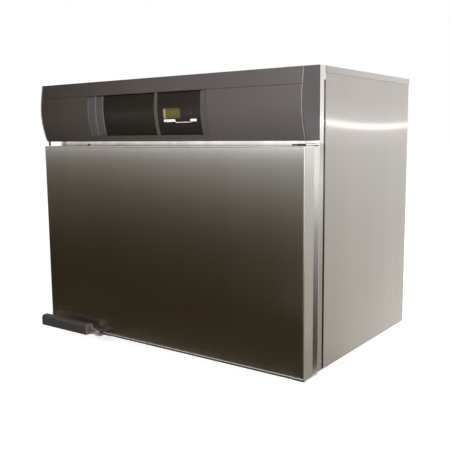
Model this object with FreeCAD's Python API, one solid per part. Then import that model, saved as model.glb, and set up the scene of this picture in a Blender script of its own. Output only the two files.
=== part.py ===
import FreeCAD, Part
import math
import os
from FreeCAD import Vector

# Blanket warming cabinet. Millimetres: X across the front, Y from front to back, Z up.
# Pieces are built with the face frame's front at y = 0 and the floor at z = 0, and save()
# moves them so that the origin is the middle of the footprint.

# Cabinet shell
body_width = 762.0           # across the side panels
body_depth = 467.0           # face frame to the rear edges of the side panels
foot_height = 30.0           # floor to base pan
machine_height = 157.0       # machine deck to the top of the cover
shell_sheet = 1.2
frame_sheet = 1.5
liner_sheet = 1.0
rear_inset = 8.0             # rear panel behind the side panels' rear edges
cover_flange = 14.0          # turned down over the side panels
strip_depth = 16.0           # side return of the face frame
groove_width = 8.0           # dark joint between face frame and side panel
groove_depth = 8.0
groove_top_stop = 28.0       # solid corner above the groove
groove_bottom_stop = 3.0
frame_flange = 30.0          # flange of the face frame behind the groove
rear_flange = 20.0
soft_gap = 0.3               # kept round soft pieces and between door and frame pieces

# Warming chamber
opening_side = 46.0          # cabinet side to the opening
opening_height = 392.0
sill_height = 38.0           # base pan to the opening
liner_margin = 5.0           # liner wall behind the opening's side
liner_drop = 2.0             # liner floor and ceiling behind the opening's edges
liner_back_room = 47.0       # liner to the rear edges of the side panels
liner_radius = 12.0
liner_lip = 14.0
roof_room = 35.0             # opening to machine deck
tray_flange = 18.0
vent_slot = (4.0, 34.0)
vent_pitch = 12.0
vent_columns = 12
vent_offset = 170.0

# Shelf
pilaster_width = 18.0
pilaster_depth = 4.0
pilaster_channel = 10.0      # hollow behind the slots
pilaster_inset = 45.0        # from the liner's front and back
pilaster_margin = 14.0       # above the liner floor and below the baffle
slot_pitch = 25.0
slot_size = (8.0, 4.0)
shelf_slot = 7               # slot that the clips hang in, counted from the bottom
clip_reach = 12.0
clip_height = 10.0
shelf_rod = 8.0
shelf_wire = 4.0
shelf_wire_pitch = 26.0
shelf_side_gap = 3.0
shelf_depth = 370.0

# Air circulation
baffle_drop = 37.0           # liner ceiling to baffle
baffle_front_gap = 6.0
baffle_back_gap = 20.0
baffle_flange = 14.0
intake_radii = (18.0, 36.0, 54.0)
intake_counts = (6, 12, 18)
intake_hole = 10.0
fan_offset = 5.0             # fan behind the middle of the liner
wheel_diameter = 150.0
wheel_height = 24.0
wheel_blades = 20
wheel_blade = (16.0, 1.2)
wheel_blade_angle = 38.0
wheel_lift = 6.0             # baffle to wheel
hub_diameter = 22.0
shaft_diameter = 8.0
running_gap = 0.05
shaft_eye_gap = 1.0          # round the shaft in the motor's foot
sleeve_diameter = 30.0
motor_diameter = 84.0
motor_height = 62.0
motor_wall = 2.5
motor_foot = (108.0, 3.0)
bearing_diameter = 22.0
bearing_height = 7.0
stator_bore = 50.0
rotor_gap = 0.5
stack_height = 34.0
heater_diameter = 8.0
heater_ring = 190.0
heater_gap_angle = 24.0
heater_rise = 12.0           # heater's top above the deck
heater_nut = (16.0, 5.0)

# Parts on the deck
sink_size = (80.0, 110.0, 6.0)
sink_fin = (2.0, 24.0)
sink_fins = 7
sink_place = (-215.0, 250.0)
relay_size = (45.0, 57.0, 24.0)
relay_gap = 1.0              # between the fins and the relay
relay_post = 1.5
terminal_size = (110.0, 28.0, 24.0)
terminal_place = (150.0, 330.0)
terminal_ways = 8
terminal_screw = 6.0
thermostat_size = (46.0, 40.0, 34.0)
thermostat_place = (-120.0, 330.0)
thermostat_bulb = 6.0
probe_diameter = 5.0
probe_place = (120.0, 120.0)
probe_nut = (14.0, 6.0)
probe_reach = 24.0           # below the liner ceiling

# Mains entry on the rear panel
entry_lift = 65.0            # machine deck to the middle of the inlet
inlet_side = 131.0           # from the cabinet's side
inlet_flange = (50.0, 3.0, 25.0)
inlet_body = (28.0, 26.0, 21.0)
inlet_recess = (24.0, 20.0, 16.0)
inlet_blade = (2.0, 12.0, 4.0)
inlet_blade_root = 1.0
inlet_blade_pitch = 7.0
fuse_side = 181.0
fuse_diameter = 12.0
fuse_cap = (17.0, 6.0)
fuse_length = 30.0
fuse_slot = (1.6, 1.5)
switch_side = 76.0
switch_flange = (24.0, 2.0, 32.0)
switch_body = (19.0, 24.0, 26.0)
rocker_size = (15.0, 9.0, 22.0)
rocker_tilt = 8.0
rocker_end = 1.0             # sloping faces short of the rocker's height
rocker_crown = 1.0           # ridge above the half depth
rocker_room = 3.0            # under the rocker
axle_diameter = 2.4
axle_root = 1.0
entry_gap = 0.4

# Fascia
fascia_gap = 10.9            # door top to fascia
fascia_top_depth = 60.0
fascia_front_drop = 6.5      # the top slopes down to the front
fascia_crease_depth = 64.6
fascia_crease_height = 106.5
fascia_belly_depth = 66.8
fascia_belly_height = 61.5
fascia_bottom_depth = 51.0
fascia_wall = 3.0
end_cap = 4.0
crease_width = 1.0
crease_depth = 0.7
boss_diameter = 12.0
boss_inset = 60.0
boss_edge = 22.0

# Control window in the fascia
window_bottom = 13.5         # above the fascia's lower edge
window_top = 107.0
window_steps = (-205.0, -183.0, -162.0)
window_panel_right = 3.5
rib_width = 7.0
control_panel_width = 122.0
right_step_width = 17.0
step_depth = 2.6
right_step_depth = 2.6
rib_depth = 1.4
panel_thickness = 2.5
window_depth = 8.0
window_back = 3.0
panel_play = 0.3

# Controller
display_x = 17.2             # from the control panel's left edge
display_size = (47.8, 21.5)
display_height = 49.5        # above the fascia's lower edge
light_x = 93.3
light_height = 60.5
light_diameter = 5.0
set_key_x = 17.0
set_key_width = 32.5
power_key_x = 91.5
power_key_width = 17.0
key_height = 5.5
key_bottom = 42.0
key_proud = 0.9
key_travel = 0.8
key_play = 0.35
board_depth = 49.5           # board's front ahead of the face frame
board_thickness = 1.6
board_margin = 4.0
housing_wall = 2.0
housing_depth = 28.0
board_low = 28.0             # above the fascia's lower edge
board_high = 98.0

# Door
door_depth = 38.0
door_stand_off = 22.0        # door's rear edge to face frame
door_lift = 0.4              # base pan's underside to door
door_sheet = 1.2
door_edge_radius = 3.0
door_return = 18.0
door_liner_lap = 5.0
plug_margin = 5.0            # door liner's plug inside the opening
plug_depth = 14.0
gasket_width = 14.0
gasket_overlap = (6.0, 2.0)  # gasket outside the opening, across and up
hinge_inset_x = 15.0         # pivot from the cabinet's side
hinge_inset_y = 18.0         # pivot behind the door's front
pin_diameter = 8.0
pin_grip = 14.0
bushing_wall = 3.0
bushing_flange = (19.0, 1.6)
bracket_thickness = 3.0
bracket_width = 30.0
bracket_leg = (18.0, 32.0)
bracket_nose = 14.0

# Catch and sensor at the door's upper left corner
catch_size = (14.0, 10.0)
catch_side = 17.0            # from the cabinet's side
catch_drop = 1.6             # below the door's top
catch_round = 1.5
strike_thickness = 1.5
strike_edge = 1.6
sensor_size = (4.0, 14.0)
sensor_side = 52.0
magnet_size = (12.0, 5.0)

# Foot opener
pad_length = 169.0
pad_depth = 24.0
pad_height = 27.0
pad_gap = 11.0               # door front to pad
pad_round = 9.0
pad_end_round = 2.5
lever_thickness = 4.0
lever_width = 16.0
lever_embed = 4.0            # up from the pad's underside
lever_inset = 5.0
lever_crank = 2.0
web_rise = (9.0, 4.0)        # upstand over the tongue, at the pad and at its end
web_play = 0.3               # upstand to the pad's end
pedal_pivot_inset = 8.5      # door back to pivot
pedal_pivot_drop = 10.4      # pivot below the door
barrel_diameter = 12.0
barrel_length = 33.0
pedal_pin_diameter = 6.0
ear_thickness = 3.0
ear_play = 0.4
ear_margin = 1.0             # ear beyond the barrel
spring_room = 19.0
spring_wire = 1.6
spring_turns = 6
heel_width = 20.0
heel_thickness = 4.0
heel_drop = 11.0
heel_gap = 2.6
stop_sheet = 2.0
stop_width = 40.0
stop_seat = 24.0
stop_reach = 2.0             # stop below the heel

# Feet and fasteners
foot_inset_x = 65.0
foot_inset_y = 60.0
foot_diameter = 40.0
foot_rubber = 8.0
foot_cone = 6.0
stem_diameter = 10.0
stem_top = 46.0
hole_play = 0.25
nut_width = 17.0
nut_height = 6.0
nut_room = 17.0              # radius kept free round each nut
screw_head = (8.0, 2.2)
screw_shank = (4.0, 9.0)
rear_screw_inset = 10.0
rear_screw_rows = 4
edge_pick = 0.01             # how near a face an edge counts as on it

# Places worked out from the sizes above
half_width = body_width / 2
base_z = foot_height
base_top = base_z + shell_sheet
deck_height = sill_height + opening_height + roof_room
top_z = base_z + deck_height + machine_height
cover_under = top_z - shell_sheet
panel_front = strip_depth + groove_width
groove_x = half_width - groove_depth
flange_x = groove_x - frame_sheet
flange_back = strip_depth - frame_sheet + frame_flange
inner_x = half_width - shell_sheet
rear_out = body_depth - rear_inset
rear_in = rear_out - shell_sheet
open_half = half_width - opening_side
open_z = (base_z + sill_height, base_z + sill_height + opening_height)
liner_half = open_half + liner_margin
liner_depth = body_depth - liner_back_room
liner_z = (open_z[0] - liner_drop, open_z[1] + liner_drop)
deck_z = base_z + deck_height
deck_top = deck_z + shell_sheet
baffle_z = liner_z[1] - baffle_drop
fan_axis = (0.0, liner_depth / 2 + fan_offset)
wheel_z = baffle_z + liner_sheet + wheel_lift
shaft_r = shaft_diameter / 2
heater_r = heater_diameter / 2
entry_z = deck_z + entry_lift
inlet_x = half_width - inlet_side
fuse_x = half_width - fuse_side
switch_x = half_width - switch_side

door_z = (base_z + door_lift, base_z + deck_height - door_lift)
door_back = -door_stand_off
door_front = door_back - door_depth
pivot = (half_width - hinge_inset_x, door_front + hinge_inset_y)
pin_r = pin_diameter / 2
gasket_in_x = open_half + gasket_overlap[0]
gasket_in_z = (open_z[0] - gasket_overlap[1], open_z[1] + gasket_overlap[1])
catch_x = catch_side - half_width
sensor_x = sensor_side - half_width

fascia_z = door_z[1] + fascia_gap
fascia_top = top_z
panel_z = (fascia_z + window_bottom + panel_play, fascia_z + window_top - panel_play)
window_z = (fascia_z + window_bottom, fascia_z + window_top)
rib_x = (window_panel_right, window_panel_right + rib_width)
control_x = (rib_x[1], rib_x[1] + control_panel_width)
right_step_x = (control_x[1], control_x[1] + right_step_width)
panel_face = window_depth - panel_thickness

pad_front = door_front - pad_gap - pad_depth
pad_x = (-half_width, -half_width + pad_length)
pad_z = (base_z, base_z + pad_height)
pedal_axis = (door_back - pedal_pivot_inset, door_z[0] - pedal_pivot_drop)
lever_x = (pad_x[1], pad_x[1] + lever_width)
barrel_x = (lever_x[1] - barrel_length, lever_x[1])

rear_reach = body_depth + shell_sheet
origin_y = (pad_front + rear_reach) / 2


def block(x, y, z):
    """A box between the low and high value given for each axis."""
    return Part.makeBox(x[1] - x[0], y[1] - y[0], z[1] - z[0], Vector(x[0], y[0], z[0]))


def rod(radius, start, direction, length):
    """A round bar from a start point along a direction."""
    return Part.makeCylinder(radius, length, Vector(*start), Vector(*direction))


def ring(outer, inner, start, direction, length):
    """A round bar with a hole through it."""
    return rod(outer, start, direction, length).cut(rod(inner, start, direction, length))


def hexagon(width, start, height, bore):
    """A nut of the given width across flats, standing on its start point."""
    corner = width / math.sqrt(3)
    turns = [math.radians(60 * step) for step in range(7)]
    points = [Vector(start[0] + corner * math.cos(a), start[1] + corner * math.sin(a), start[2]) for a in turns]
    body = Part.Face(Part.makePolygon(points)).extrude(Vector(0, 0, height))
    return body.cut(rod(bore, start, (0, 0, 1), height))


def prism_x(points, x):
    """A plate cut to an outline of (y, z) points, reaching from x[0] to x[1]."""
    corners = [Vector(x[0], y, z) for y, z in points]
    return Part.Face(Part.makePolygon(corners + corners[:1])).extrude(Vector(x[1] - x[0], 0, 0))


def both_ways(half):
    return (-half, half)


def about(middle, width):
    return (middle - width / 2, middle + width / 2)


def mirrored(shape):
    return shape.mirror(Vector(0, 0, 0), Vector(1, 0, 0))


def joined(shapes):
    """Shapes welded into one solid, with their seams removed."""
    body = shapes[0]
    for shape in shapes[1:]:
        body = body.fuse(shape)
    return body.removeSplitter()


def without(body, tools):
    """The body with every tool cut out of it."""
    for tool in tools:
        body = body.cut(tool)
    return body


def rounded(shape, radius, choose):
    """The shape with a radius on each edge that choose picks by its middle."""
    edges = [edge for edge in shape.Edges if choose(edge.CenterOfMass)]
    return shape.makeFillet(radius, edges)


def save(name, shapes):
    """One STEP file for a node: a single solid, or a group of separate ones."""
    shape = Part.makeCompound(shapes) if isinstance(shapes, list) else shapes
    shape = shape.copy()
    shape.translate(Vector(0, -origin_y, 0))
    shape.exportStep(os.path.join("parts", name + ".step"))


# ---------------------------------------------------------------- cabinet shell

def tray(z, up):
    """A folded sheet tray between the side panels, notched round the face frame's flanges."""
    z_low = (z, z + shell_sheet)
    floor = joined([
        block(both_ways(flange_x), (frame_sheet, rear_in), z_low),
        block(both_ways(inner_x), (flange_back, rear_in), z_low),
    ])
    wall_z = (z, z + up)
    side = block((inner_x - shell_sheet, inner_x), (flange_back, rear_in - shell_sheet), wall_z)
    front = block(both_ways(flange_x), (frame_sheet, frame_sheet + shell_sheet), wall_z)
    back = block(both_ways(inner_x - rear_flange), (rear_in - shell_sheet, rear_in), wall_z)
    return joined([floor, side, mirrored(side), front, back])


def foot_places():
    x = half_width - foot_inset_x
    return [(sx * x, y) for sx in (-1, 1) for y in (foot_inset_y, body_depth - foot_inset_y)]


def base_pan():
    holes = [rod(stem_diameter / 2 + hole_play, (x, y, base_z), (0, 0, 1), shell_sheet) for x, y in foot_places()]
    return without(tray(base_z, tray_flange), holes)


def heater_legs():
    """The heater's two ends, at the gap in its ring."""
    spread = math.radians(heater_gap_angle / 2)
    reach = heater_ring / 2
    return [(fan_axis[0] + reach * math.cos(a), fan_axis[1] + reach * math.sin(a)) for a in (-spread, spread)]


def roof_holes(z, length):
    """Holes for shaft, heater ends, probe and thermostat bulb through one layer of the roof."""
    holes = [rod(sleeve_diameter / 2 - liner_sheet, (*fan_axis, z), (0, 0, 1), length)]
    holes += [rod(heater_r + hole_play, (x, y, z), (0, 0, 1), length) for x, y in heater_legs()]
    holes.append(rod(probe_diameter / 2 + hole_play, (*probe_place, z), (0, 0, 1), length))
    holes.append(rod(thermostat_bulb / 2 + hole_play, (*thermostat_place, z), (0, 0, 1), length))
    return holes


def machine_deck():
    return without(tray(deck_z, tray_flange), roof_holes(deck_z, shell_sheet))


def side_panel():
    z = (base_z, cover_under)
    sheet = block((inner_x, half_width), (panel_front, body_depth), z)
    front = block((groove_x, half_width), (panel_front, panel_front + shell_sheet), z)
    back = block((half_width - rear_flange, half_width), (rear_in - shell_sheet, rear_in), z)
    notch_x = (half_width - rear_flange, inner_x)
    notch_y = (rear_in - shell_sheet, rear_in)
    notches = [block(notch_x, notch_y, (z_tray, z_tray + shell_sheet)) for z_tray in (base_z, deck_z)]
    return without(joined([sheet, front, back]), notches)


def top_cover():
    out = half_width + shell_sheet
    y = (panel_front, rear_reach)
    side = block((half_width, out), y, (top_z - cover_flange, top_z))
    back = block(both_ways(out), (body_depth, rear_reach), (top_z - cover_flange, top_z))
    return joined([block(both_ways(out), y, (cover_under, top_z)), side, mirrored(side), back])


def rear_screw_places():
    x = inner_x - rear_screw_inset
    low = base_z + tray_flange + rear_screw_inset
    pitch = (cover_under - rear_screw_inset - low) / (rear_screw_rows - 1)
    return [(sx * x, low + row * pitch) for sx in (-1, 1) for row in range(rear_screw_rows)]


def rear_panel():
    sheet = block(both_ways(inner_x), (rear_in, rear_out), (base_z, cover_under))
    cuts = []
    vent_z = about((deck_top + cover_under) / 2 + vent_slot[1] / 2, vent_slot[1])
    for bank in (-vent_offset, 0.0):
        for column in range(vent_columns):
            x = bank + (column - (vent_columns - 1) / 2) * vent_pitch
            cuts.append(block(about(x, vent_slot[0]), (rear_in, rear_out), vent_z))
    for x, size in ((inlet_x, inlet_body), (switch_x, switch_body)):
        cuts.append(block(about(x, size[0]), (rear_in, rear_out), about(entry_z, size[2])))
    cuts.append(rod(fuse_diameter / 2, (fuse_x, rear_in, entry_z), (0, 1, 0), shell_sheet))
    cuts += [rod(screw_shank[0] / 2, (x, rear_in, z), (0, 1, 0), shell_sheet) for x, z in rear_screw_places()]
    return without(sheet, cuts)


def face_frame():
    z = (base_z, top_z)
    plate = block(both_ways(half_width), (0, frame_sheet), z)
    side = joined([
        block((half_width - frame_sheet, half_width), (0, strip_depth), z),
        block((flange_x, half_width), (strip_depth - frame_sheet, strip_depth), z),
        block((flange_x, groove_x), (strip_depth - frame_sheet, flange_back), (base_z, cover_under)),
        block((groove_x, half_width), (strip_depth, panel_front), (top_z - groove_top_stop, cover_under)),
        block((groove_x, half_width), (strip_depth, panel_front), (base_z, base_z + groove_bottom_stop)),
    ])
    step_z = cover_under - frame_sheet
    head = joined([
        block(both_ways(half_width), (0, panel_front), (top_z - frame_sheet, top_z)),
        block(both_ways(flange_x), (panel_front - frame_sheet, panel_front), (step_z, top_z)),
        block(both_ways(flange_x), (panel_front - frame_sheet, flange_back), (step_z, cover_under)),
    ])
    frame = joined([plate, side, mirrored(side), head])
    cuts = [block(both_ways(open_half), (0, frame_sheet), open_z)]
    cuts += [rod(screw_shank[0] / 2, (x, 0, z_boss), (0, 1, 0), frame_sheet) for x, z_boss in boss_places()]
    cable = (sum(control_x) / 2, 0, fascia_z + (board_low + board_high) / 2)
    cuts.append(rod(boss_diameter, cable, (0, 1, 0), frame_sheet))
    return without(frame, cuts)


def screw(seat, outward, grip):
    """A screw whose head sits on seat and faces along Y, +1 to the back and -1 to the front."""
    head = rod(screw_head[0] / 2, seat, (0, outward, 0), screw_head[1])
    shank = rod(screw_shank[0] / 2, seat, (0, -outward, 0), grip)
    return joined([head, shank])


def machine_screws():
    screws = [screw((x, rear_out, z), 1, shell_sheet) for x, z in rear_screw_places()]
    screws += [screw((x, frame_sheet, z), 1, screw_shank[1]) for x, z in boss_places()]
    leg_x = half_width - bracket_leg[0] / 2
    for leg_z in hinge_legs():
        screws += [screw((leg_x, -bracket_thickness, z), -1, bracket_thickness) for z in hinge_screw_z(leg_z)]
    return screws


def levelling_feet():
    feet = []
    for x, y in foot_places():
        rubber = rod(foot_diameter / 2, (x, y, 0), (0, 0, 1), foot_rubber)
        cone = Part.makeCone(foot_diameter / 2, stem_diameter, foot_cone, Vector(x, y, foot_rubber))
        stem = rod(stem_diameter / 2, (x, y, foot_rubber), (0, 0, 1), stem_top - foot_rubber)
        feet.append(joined([rubber, cone, stem]))
    return feet


def foot_lock_nuts():
    nuts = []
    for x, y in foot_places():
        nuts.append(hexagon(nut_width, (x, y, base_z - nut_height), nut_height, stem_diameter / 2))
        nuts.append(hexagon(nut_width, (x, y, base_top), nut_height, stem_diameter / 2))
    return nuts


# ---------------------------------------------------------------- warming chamber

def rounded_box(half, y, z, radius):
    """A box whose long and rear edges are rounded, with a sharp front."""
    body = block(both_ways(half), y, z)
    return rounded(body, radius, lambda middle: middle.y > y[0] + radius)


def chamber_liner():
    wall = liner_sheet
    y = (frame_sheet, liner_depth)
    outer_z = (liner_z[0] - wall, liner_z[1] + wall)
    outer = rounded_box(liner_half + wall, (y[0], y[1] + wall), outer_z, liner_radius + wall)
    inner = rounded_box(liner_half, y, liner_z, liner_radius)
    lip_z = (liner_z[0] - liner_lip, liner_z[1] + liner_lip)
    lip = block(both_ways(liner_half + liner_lip), (y[0], y[0] + wall), lip_z)
    holes = roof_holes(liner_z[1], wall)
    return without(joined([outer, lip]), [inner] + holes)


def insulation_batts():
    wall = liner_sheet
    y = (frame_sheet + shell_sheet + soft_gap, rear_in - shell_sheet - soft_gap)
    floor_z = (base_top + soft_gap, liner_z[0] - wall - soft_gap)
    roof_z = (liner_z[1] + wall + soft_gap, deck_z - soft_gap)
    back_y = (liner_depth + wall + soft_gap, y[1])
    middle_x = both_ways(liner_half + wall)
    side_x = (liner_half + wall + soft_gap, flange_x - soft_gap)
    nut_cuts = [rod(nut_room, (px, py, base_z), (0, 0, 1), stem_top - base_z + soft_gap) for px, py in foot_places()]
    side = without(block(side_x, y, (floor_z[0], roof_z[1])).cut(lip_room(y[0])), nut_cuts)
    floor = without(block(middle_x, y, floor_z).cut(lip_room(y[0])), nut_cuts)
    back = block(middle_x, back_y, (floor_z[1] + soft_gap, roof_z[0] - soft_gap))
    roof_cuts = roof_holes(roof_z[0], roof_z[1] - roof_z[0])
    roof_cuts.append(rod(sleeve_diameter / 2 + soft_gap, (*fan_axis, roof_z[0]), (0, 0, 1), roof_z[1] - roof_z[0]))
    roof = without(block(middle_x, y, roof_z).cut(lip_room(y[0])), roof_cuts)
    return [side, mirrored(side), floor, back, roof]


def lip_room(y_front):
    """Space round the liner's front lip, where the batts stop short."""
    reach = liner_half + liner_lip + soft_gap
    z = (liner_z[0] - liner_lip - soft_gap, liner_z[1] + liner_lip + soft_gap)
    return block(both_ways(reach), (y_front - soft_gap, y_front + soft_gap), z)


def pilaster_rows():
    return (pilaster_inset, liner_depth - pilaster_inset)


def pilaster_span():
    return (liner_z[0] + pilaster_margin, baffle_z - pilaster_margin)


def slot_z(index):
    return pilaster_span()[0] + (index + 0.5) * slot_pitch


def shelf_pilasters():
    z = pilaster_span()
    count = int((z[1] - z[0]) / slot_pitch)
    strips = []
    for y in pilaster_rows():
        strip = block((liner_half - pilaster_depth, liner_half), about(y, pilaster_width), z)
        channel = block((liner_half - pilaster_depth + liner_sheet, liner_half), about(y, pilaster_channel), z)
        slots = [block((liner_half - pilaster_depth, liner_half), about(y, slot_size[0]),
                       (slot_z(i), slot_z(i) + slot_size[1])) for i in range(count)]
        strip = without(strip, [channel] + slots)
        strips += [strip, mirrored(strip)]
    return strips


def shelf_clips():
    """Hooks in the pilaster slots, each with a ledge that the shelf's side rod lies on."""
    face = liner_half - pilaster_depth
    low = slot_z(shelf_slot)
    clips = []
    for y in pilaster_rows():
        tongue_y = about(y, slot_size[0] - 2 * hole_play)
        tongue = block((face, liner_half - liner_sheet), tongue_y, (low + hole_play, low + slot_size[1] - hole_play))
        plate = block((face - liner_sheet, face), about(y, pilaster_width), (low - clip_height / 2, low + clip_height))
        ledge = block((face - clip_reach, face), about(y, pilaster_width), (low + hole_play, low + hole_play + liner_sheet))
        clip = joined([plate, tongue, ledge])
        clips += [clip, mirrored(clip)]
    return clips


def wire_shelf():
    """A welded grid: a frame of round bar with thin wires across it."""
    ledge_top = slot_z(shelf_slot) + hole_play + liner_sheet
    bar = shelf_rod / 2
    half = liner_half - pilaster_depth - liner_sheet - shelf_side_gap - bar
    y = about(liner_depth / 2, shelf_depth)
    z = ledge_top + bar
    bars = []
    for x in (-half, half):
        bars.append(rod(bar, (x, y[0], z), (0, 1, 0), y[1] - y[0]))
    for y_bar in (y[0], (y[0] + y[1]) / 2, y[1]):
        bars.append(rod(bar, (-half, y_bar, z), (1, 0, 0), 2 * half))
    bars += [Part.makeSphere(bar, Vector(x, y_end, z)) for x in (-half, half) for y_end in y]
    wires = int(2 * half / shelf_wire_pitch)
    wire_z = z + bar
    for i in range(wires):
        x = (i - (wires - 1) / 2) * shelf_wire_pitch
        bars.append(rod(shelf_wire / 2, (x, y[0] - bar, wire_z), (0, 1, 0), y[1] - y[0] + shelf_rod))
    return joined(bars)


def ceiling_baffle():
    y = (baffle_front_gap, liner_depth - baffle_back_gap)
    sheet = block(both_ways(liner_half), y, (baffle_z, baffle_z + liner_sheet))
    side = block((liner_half - liner_sheet, liner_half), y, (baffle_z, baffle_z + baffle_flange))
    front = block(both_ways(liner_half), (y[0], y[0] + liner_sheet), (baffle_z, liner_z[1] - liner_radius))
    holes = []
    for radius, count in zip(intake_radii, intake_counts):
        for i in range(count):
            turn = 2 * math.pi * i / count
            place = (fan_axis[0] + radius * math.cos(turn), fan_axis[1] + radius * math.sin(turn), baffle_z)
            holes.append(rod(intake_hole / 2, place, (0, 0, 1), liner_sheet))
    return without(joined([sheet, side, mirrored(side), front]), holes)


# ---------------------------------------------------------------- fan and heater

def fan_wheel():
    """A drum of curved-back blades between a back plate and a rim, on a hub."""
    outer = wheel_diameter / 2
    top = wheel_z + wheel_height
    plate = rod(outer, (*fan_axis, top - liner_sheet), (0, 0, 1), liner_sheet)
    rim = ring(outer, outer - wheel_blade[0] / 2, (*fan_axis, wheel_z), (0, 0, 1), liner_sheet)
    hub = rod(hub_diameter / 2, (*fan_axis, wheel_z + liner_sheet), (0, 0, 1), wheel_height - liner_sheet)
    blades = []
    for i in range(wheel_blades):
        blade = block((-wheel_blade[0], 0), about(0, wheel_blade[1]), (wheel_z, top - liner_sheet / 2))
        blade.rotate(Vector(0, 0, 0), Vector(0, 0, 1), wheel_blade_angle)
        blade.translate(Vector(outer - wheel_blade[1], 0, 0))
        blade.rotate(Vector(0, 0, 0), Vector(0, 0, 1), 360 * i / wheel_blades)
        blade.translate(Vector(*fan_axis, 0))
        blades.append(blade)
    wheel = joined([plate, rim, hub] + blades)
    return wheel.cut(rod(shaft_r, (*fan_axis, wheel_z), (0, 0, 1), wheel_height))


def shaft_span():
    return (wheel_z, deck_top + motor_foot[1] + motor_height - motor_wall)


def fan_shaft():
    z = shaft_span()
    return rod(shaft_r, (*fan_axis, z[0]), (0, 0, 1), z[1] - z[0])


def motor_span():
    low = deck_top + motor_foot[1]
    return (low, low + motor_height)


def stack_z():
    return about(sum(motor_span()) / 2, stack_height)


def motor_rotor():
    z = stack_z()
    return ring(stator_bore / 2 - rotor_gap, shaft_r, (*fan_axis, z[0]), (0, 0, 1), stack_height)


def motor_stator():
    z = stack_z()
    return ring(motor_diameter / 2 - motor_wall, stator_bore / 2, (*fan_axis, z[0]), (0, 0, 1), stack_height)


def motor_bearings():
    low, high = motor_span()
    inner = shaft_r + running_gap
    places = (low + motor_wall, high - motor_wall - bearing_height)
    return [ring(bearing_diameter / 2, inner, (*fan_axis, z), (0, 0, 1), bearing_height) for z in places]


def motor_housing():
    low, high = motor_span()
    outer = motor_diameter / 2
    can = rod(outer, (*fan_axis, low), (0, 0, 1), motor_height)
    foot = rod(motor_foot[0] / 2, (*fan_axis, deck_top), (0, 0, 1), motor_foot[1])
    hollow = rod(outer - motor_wall, (*fan_axis, low + motor_wall), (0, 0, 1), motor_height - 2 * motor_wall)
    seat_r = bearing_diameter / 2
    seat_z = (low + motor_wall, high - motor_wall - bearing_height)
    seats = [ring(seat_r + motor_wall, seat_r, (*fan_axis, z), (0, 0, 1), bearing_height) for z in seat_z]
    eye = rod(shaft_r + shaft_eye_gap, (*fan_axis, deck_top), (0, 0, 1), motor_foot[1] + motor_wall)
    return joined([can, foot]).cut(hollow).cut(eye).fuse(seats[0]).fuse(seats[1]).removeSplitter()


def shaft_sleeve():
    low = liner_z[1] + liner_sheet
    outer = sleeve_diameter / 2
    return ring(outer, outer - liner_sheet, (*fan_axis, low), (0, 0, 1), deck_z - low)


def heater_element():
    """A tubular ring round the wheel, its two ends bent up through the roof, held by nuts."""
    z = wheel_z + wheel_height / 2
    reach = heater_ring / 2
    sweep = 360 - heater_gap_angle
    loop = Part.makeTorus(reach, heater_r, Vector(0, 0, 0), Vector(0, 0, 1), 0, 360, sweep)
    loop.rotate(Vector(0, 0, 0), Vector(0, 0, 1), heater_gap_angle / 2)
    loop.translate(Vector(*fan_axis, z))
    pieces = [loop]
    top = deck_top + heater_rise
    for x, y in heater_legs():
        pieces.append(Part.makeSphere(heater_r, Vector(x, y, z)))
        pieces.append(rod(heater_r, (x, y, z), (0, 0, 1), top - z))
        pieces.append(hexagon(heater_nut[0], (x, y, deck_top), heater_nut[1], heater_r - hole_play))
    return joined(pieces)


def temperature_probe():
    low = liner_z[1] - probe_reach
    stem = rod(probe_diameter / 2, (*probe_place, low), (0, 0, 1), deck_top + 2 * probe_nut[1] - low)
    nut = hexagon(probe_nut[0], (*probe_place, deck_top), probe_nut[1], probe_diameter / 2 - hole_play)
    return joined([stem, nut])


def overheat_thermostat():
    x, y = thermostat_place
    case = block(about(x, thermostat_size[0]), about(y, thermostat_size[1]), (deck_top, deck_top + thermostat_size[2]))
    low = liner_z[1] - probe_reach
    bulb = rod(thermostat_bulb / 2, (x, y, low), (0, 0, 1), deck_top - low)
    knob = rod(thermostat_bulb, (x, y, deck_top + thermostat_size[2]), (0, 0, 1), thermostat_bulb)
    return joined([case, bulb, knob])


# ---------------------------------------------------------------- parts on the deck

def heat_sink():
    x, y = sink_place
    width, depth, base = sink_size
    plate = block(about(x, width), about(y, depth), (deck_top, deck_top + base))
    pitch = (width - sink_fin[0]) / (sink_fins - 1)
    fin_z = (deck_top, deck_top + base + sink_fin[1])
    fins = [block(about(x - (width - sink_fin[0]) / 2 + i * pitch, sink_fin[0]),
                  (y - depth / 2, y + depth / 2 - relay_size[1] - relay_gap), fin_z) for i in range(sink_fins)]
    return joined([plate] + fins)


def solid_state_relay():
    x, y = sink_place
    back = y + sink_size[1] / 2
    z = deck_top + sink_size[2]
    case = block(about(x, relay_size[0]), (back - relay_size[1], back), (z, z + relay_size[2]))
    posts = [rod(terminal_screw / 2, (x + sx * relay_size[0] / 3, back + sy, z + relay_size[2]), (0, 0, 1), relay_post)
             for sx in (-1, 1) for sy in (-terminal_screw, terminal_screw - relay_size[1])]
    return joined([case] + posts)


def terminal_block():
    x, y = terminal_place
    width, depth, height = terminal_size
    body = block(about(x, width), about(y, depth), (deck_top, deck_top + height))
    pitch = width / terminal_ways
    wells = [rod(terminal_screw / 2, (x - width / 2 + (i + 0.5) * pitch, y, deck_top + height / 2), (0, 0, 1), height)
             for i in range(terminal_ways)]
    return without(body, wells)


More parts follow.
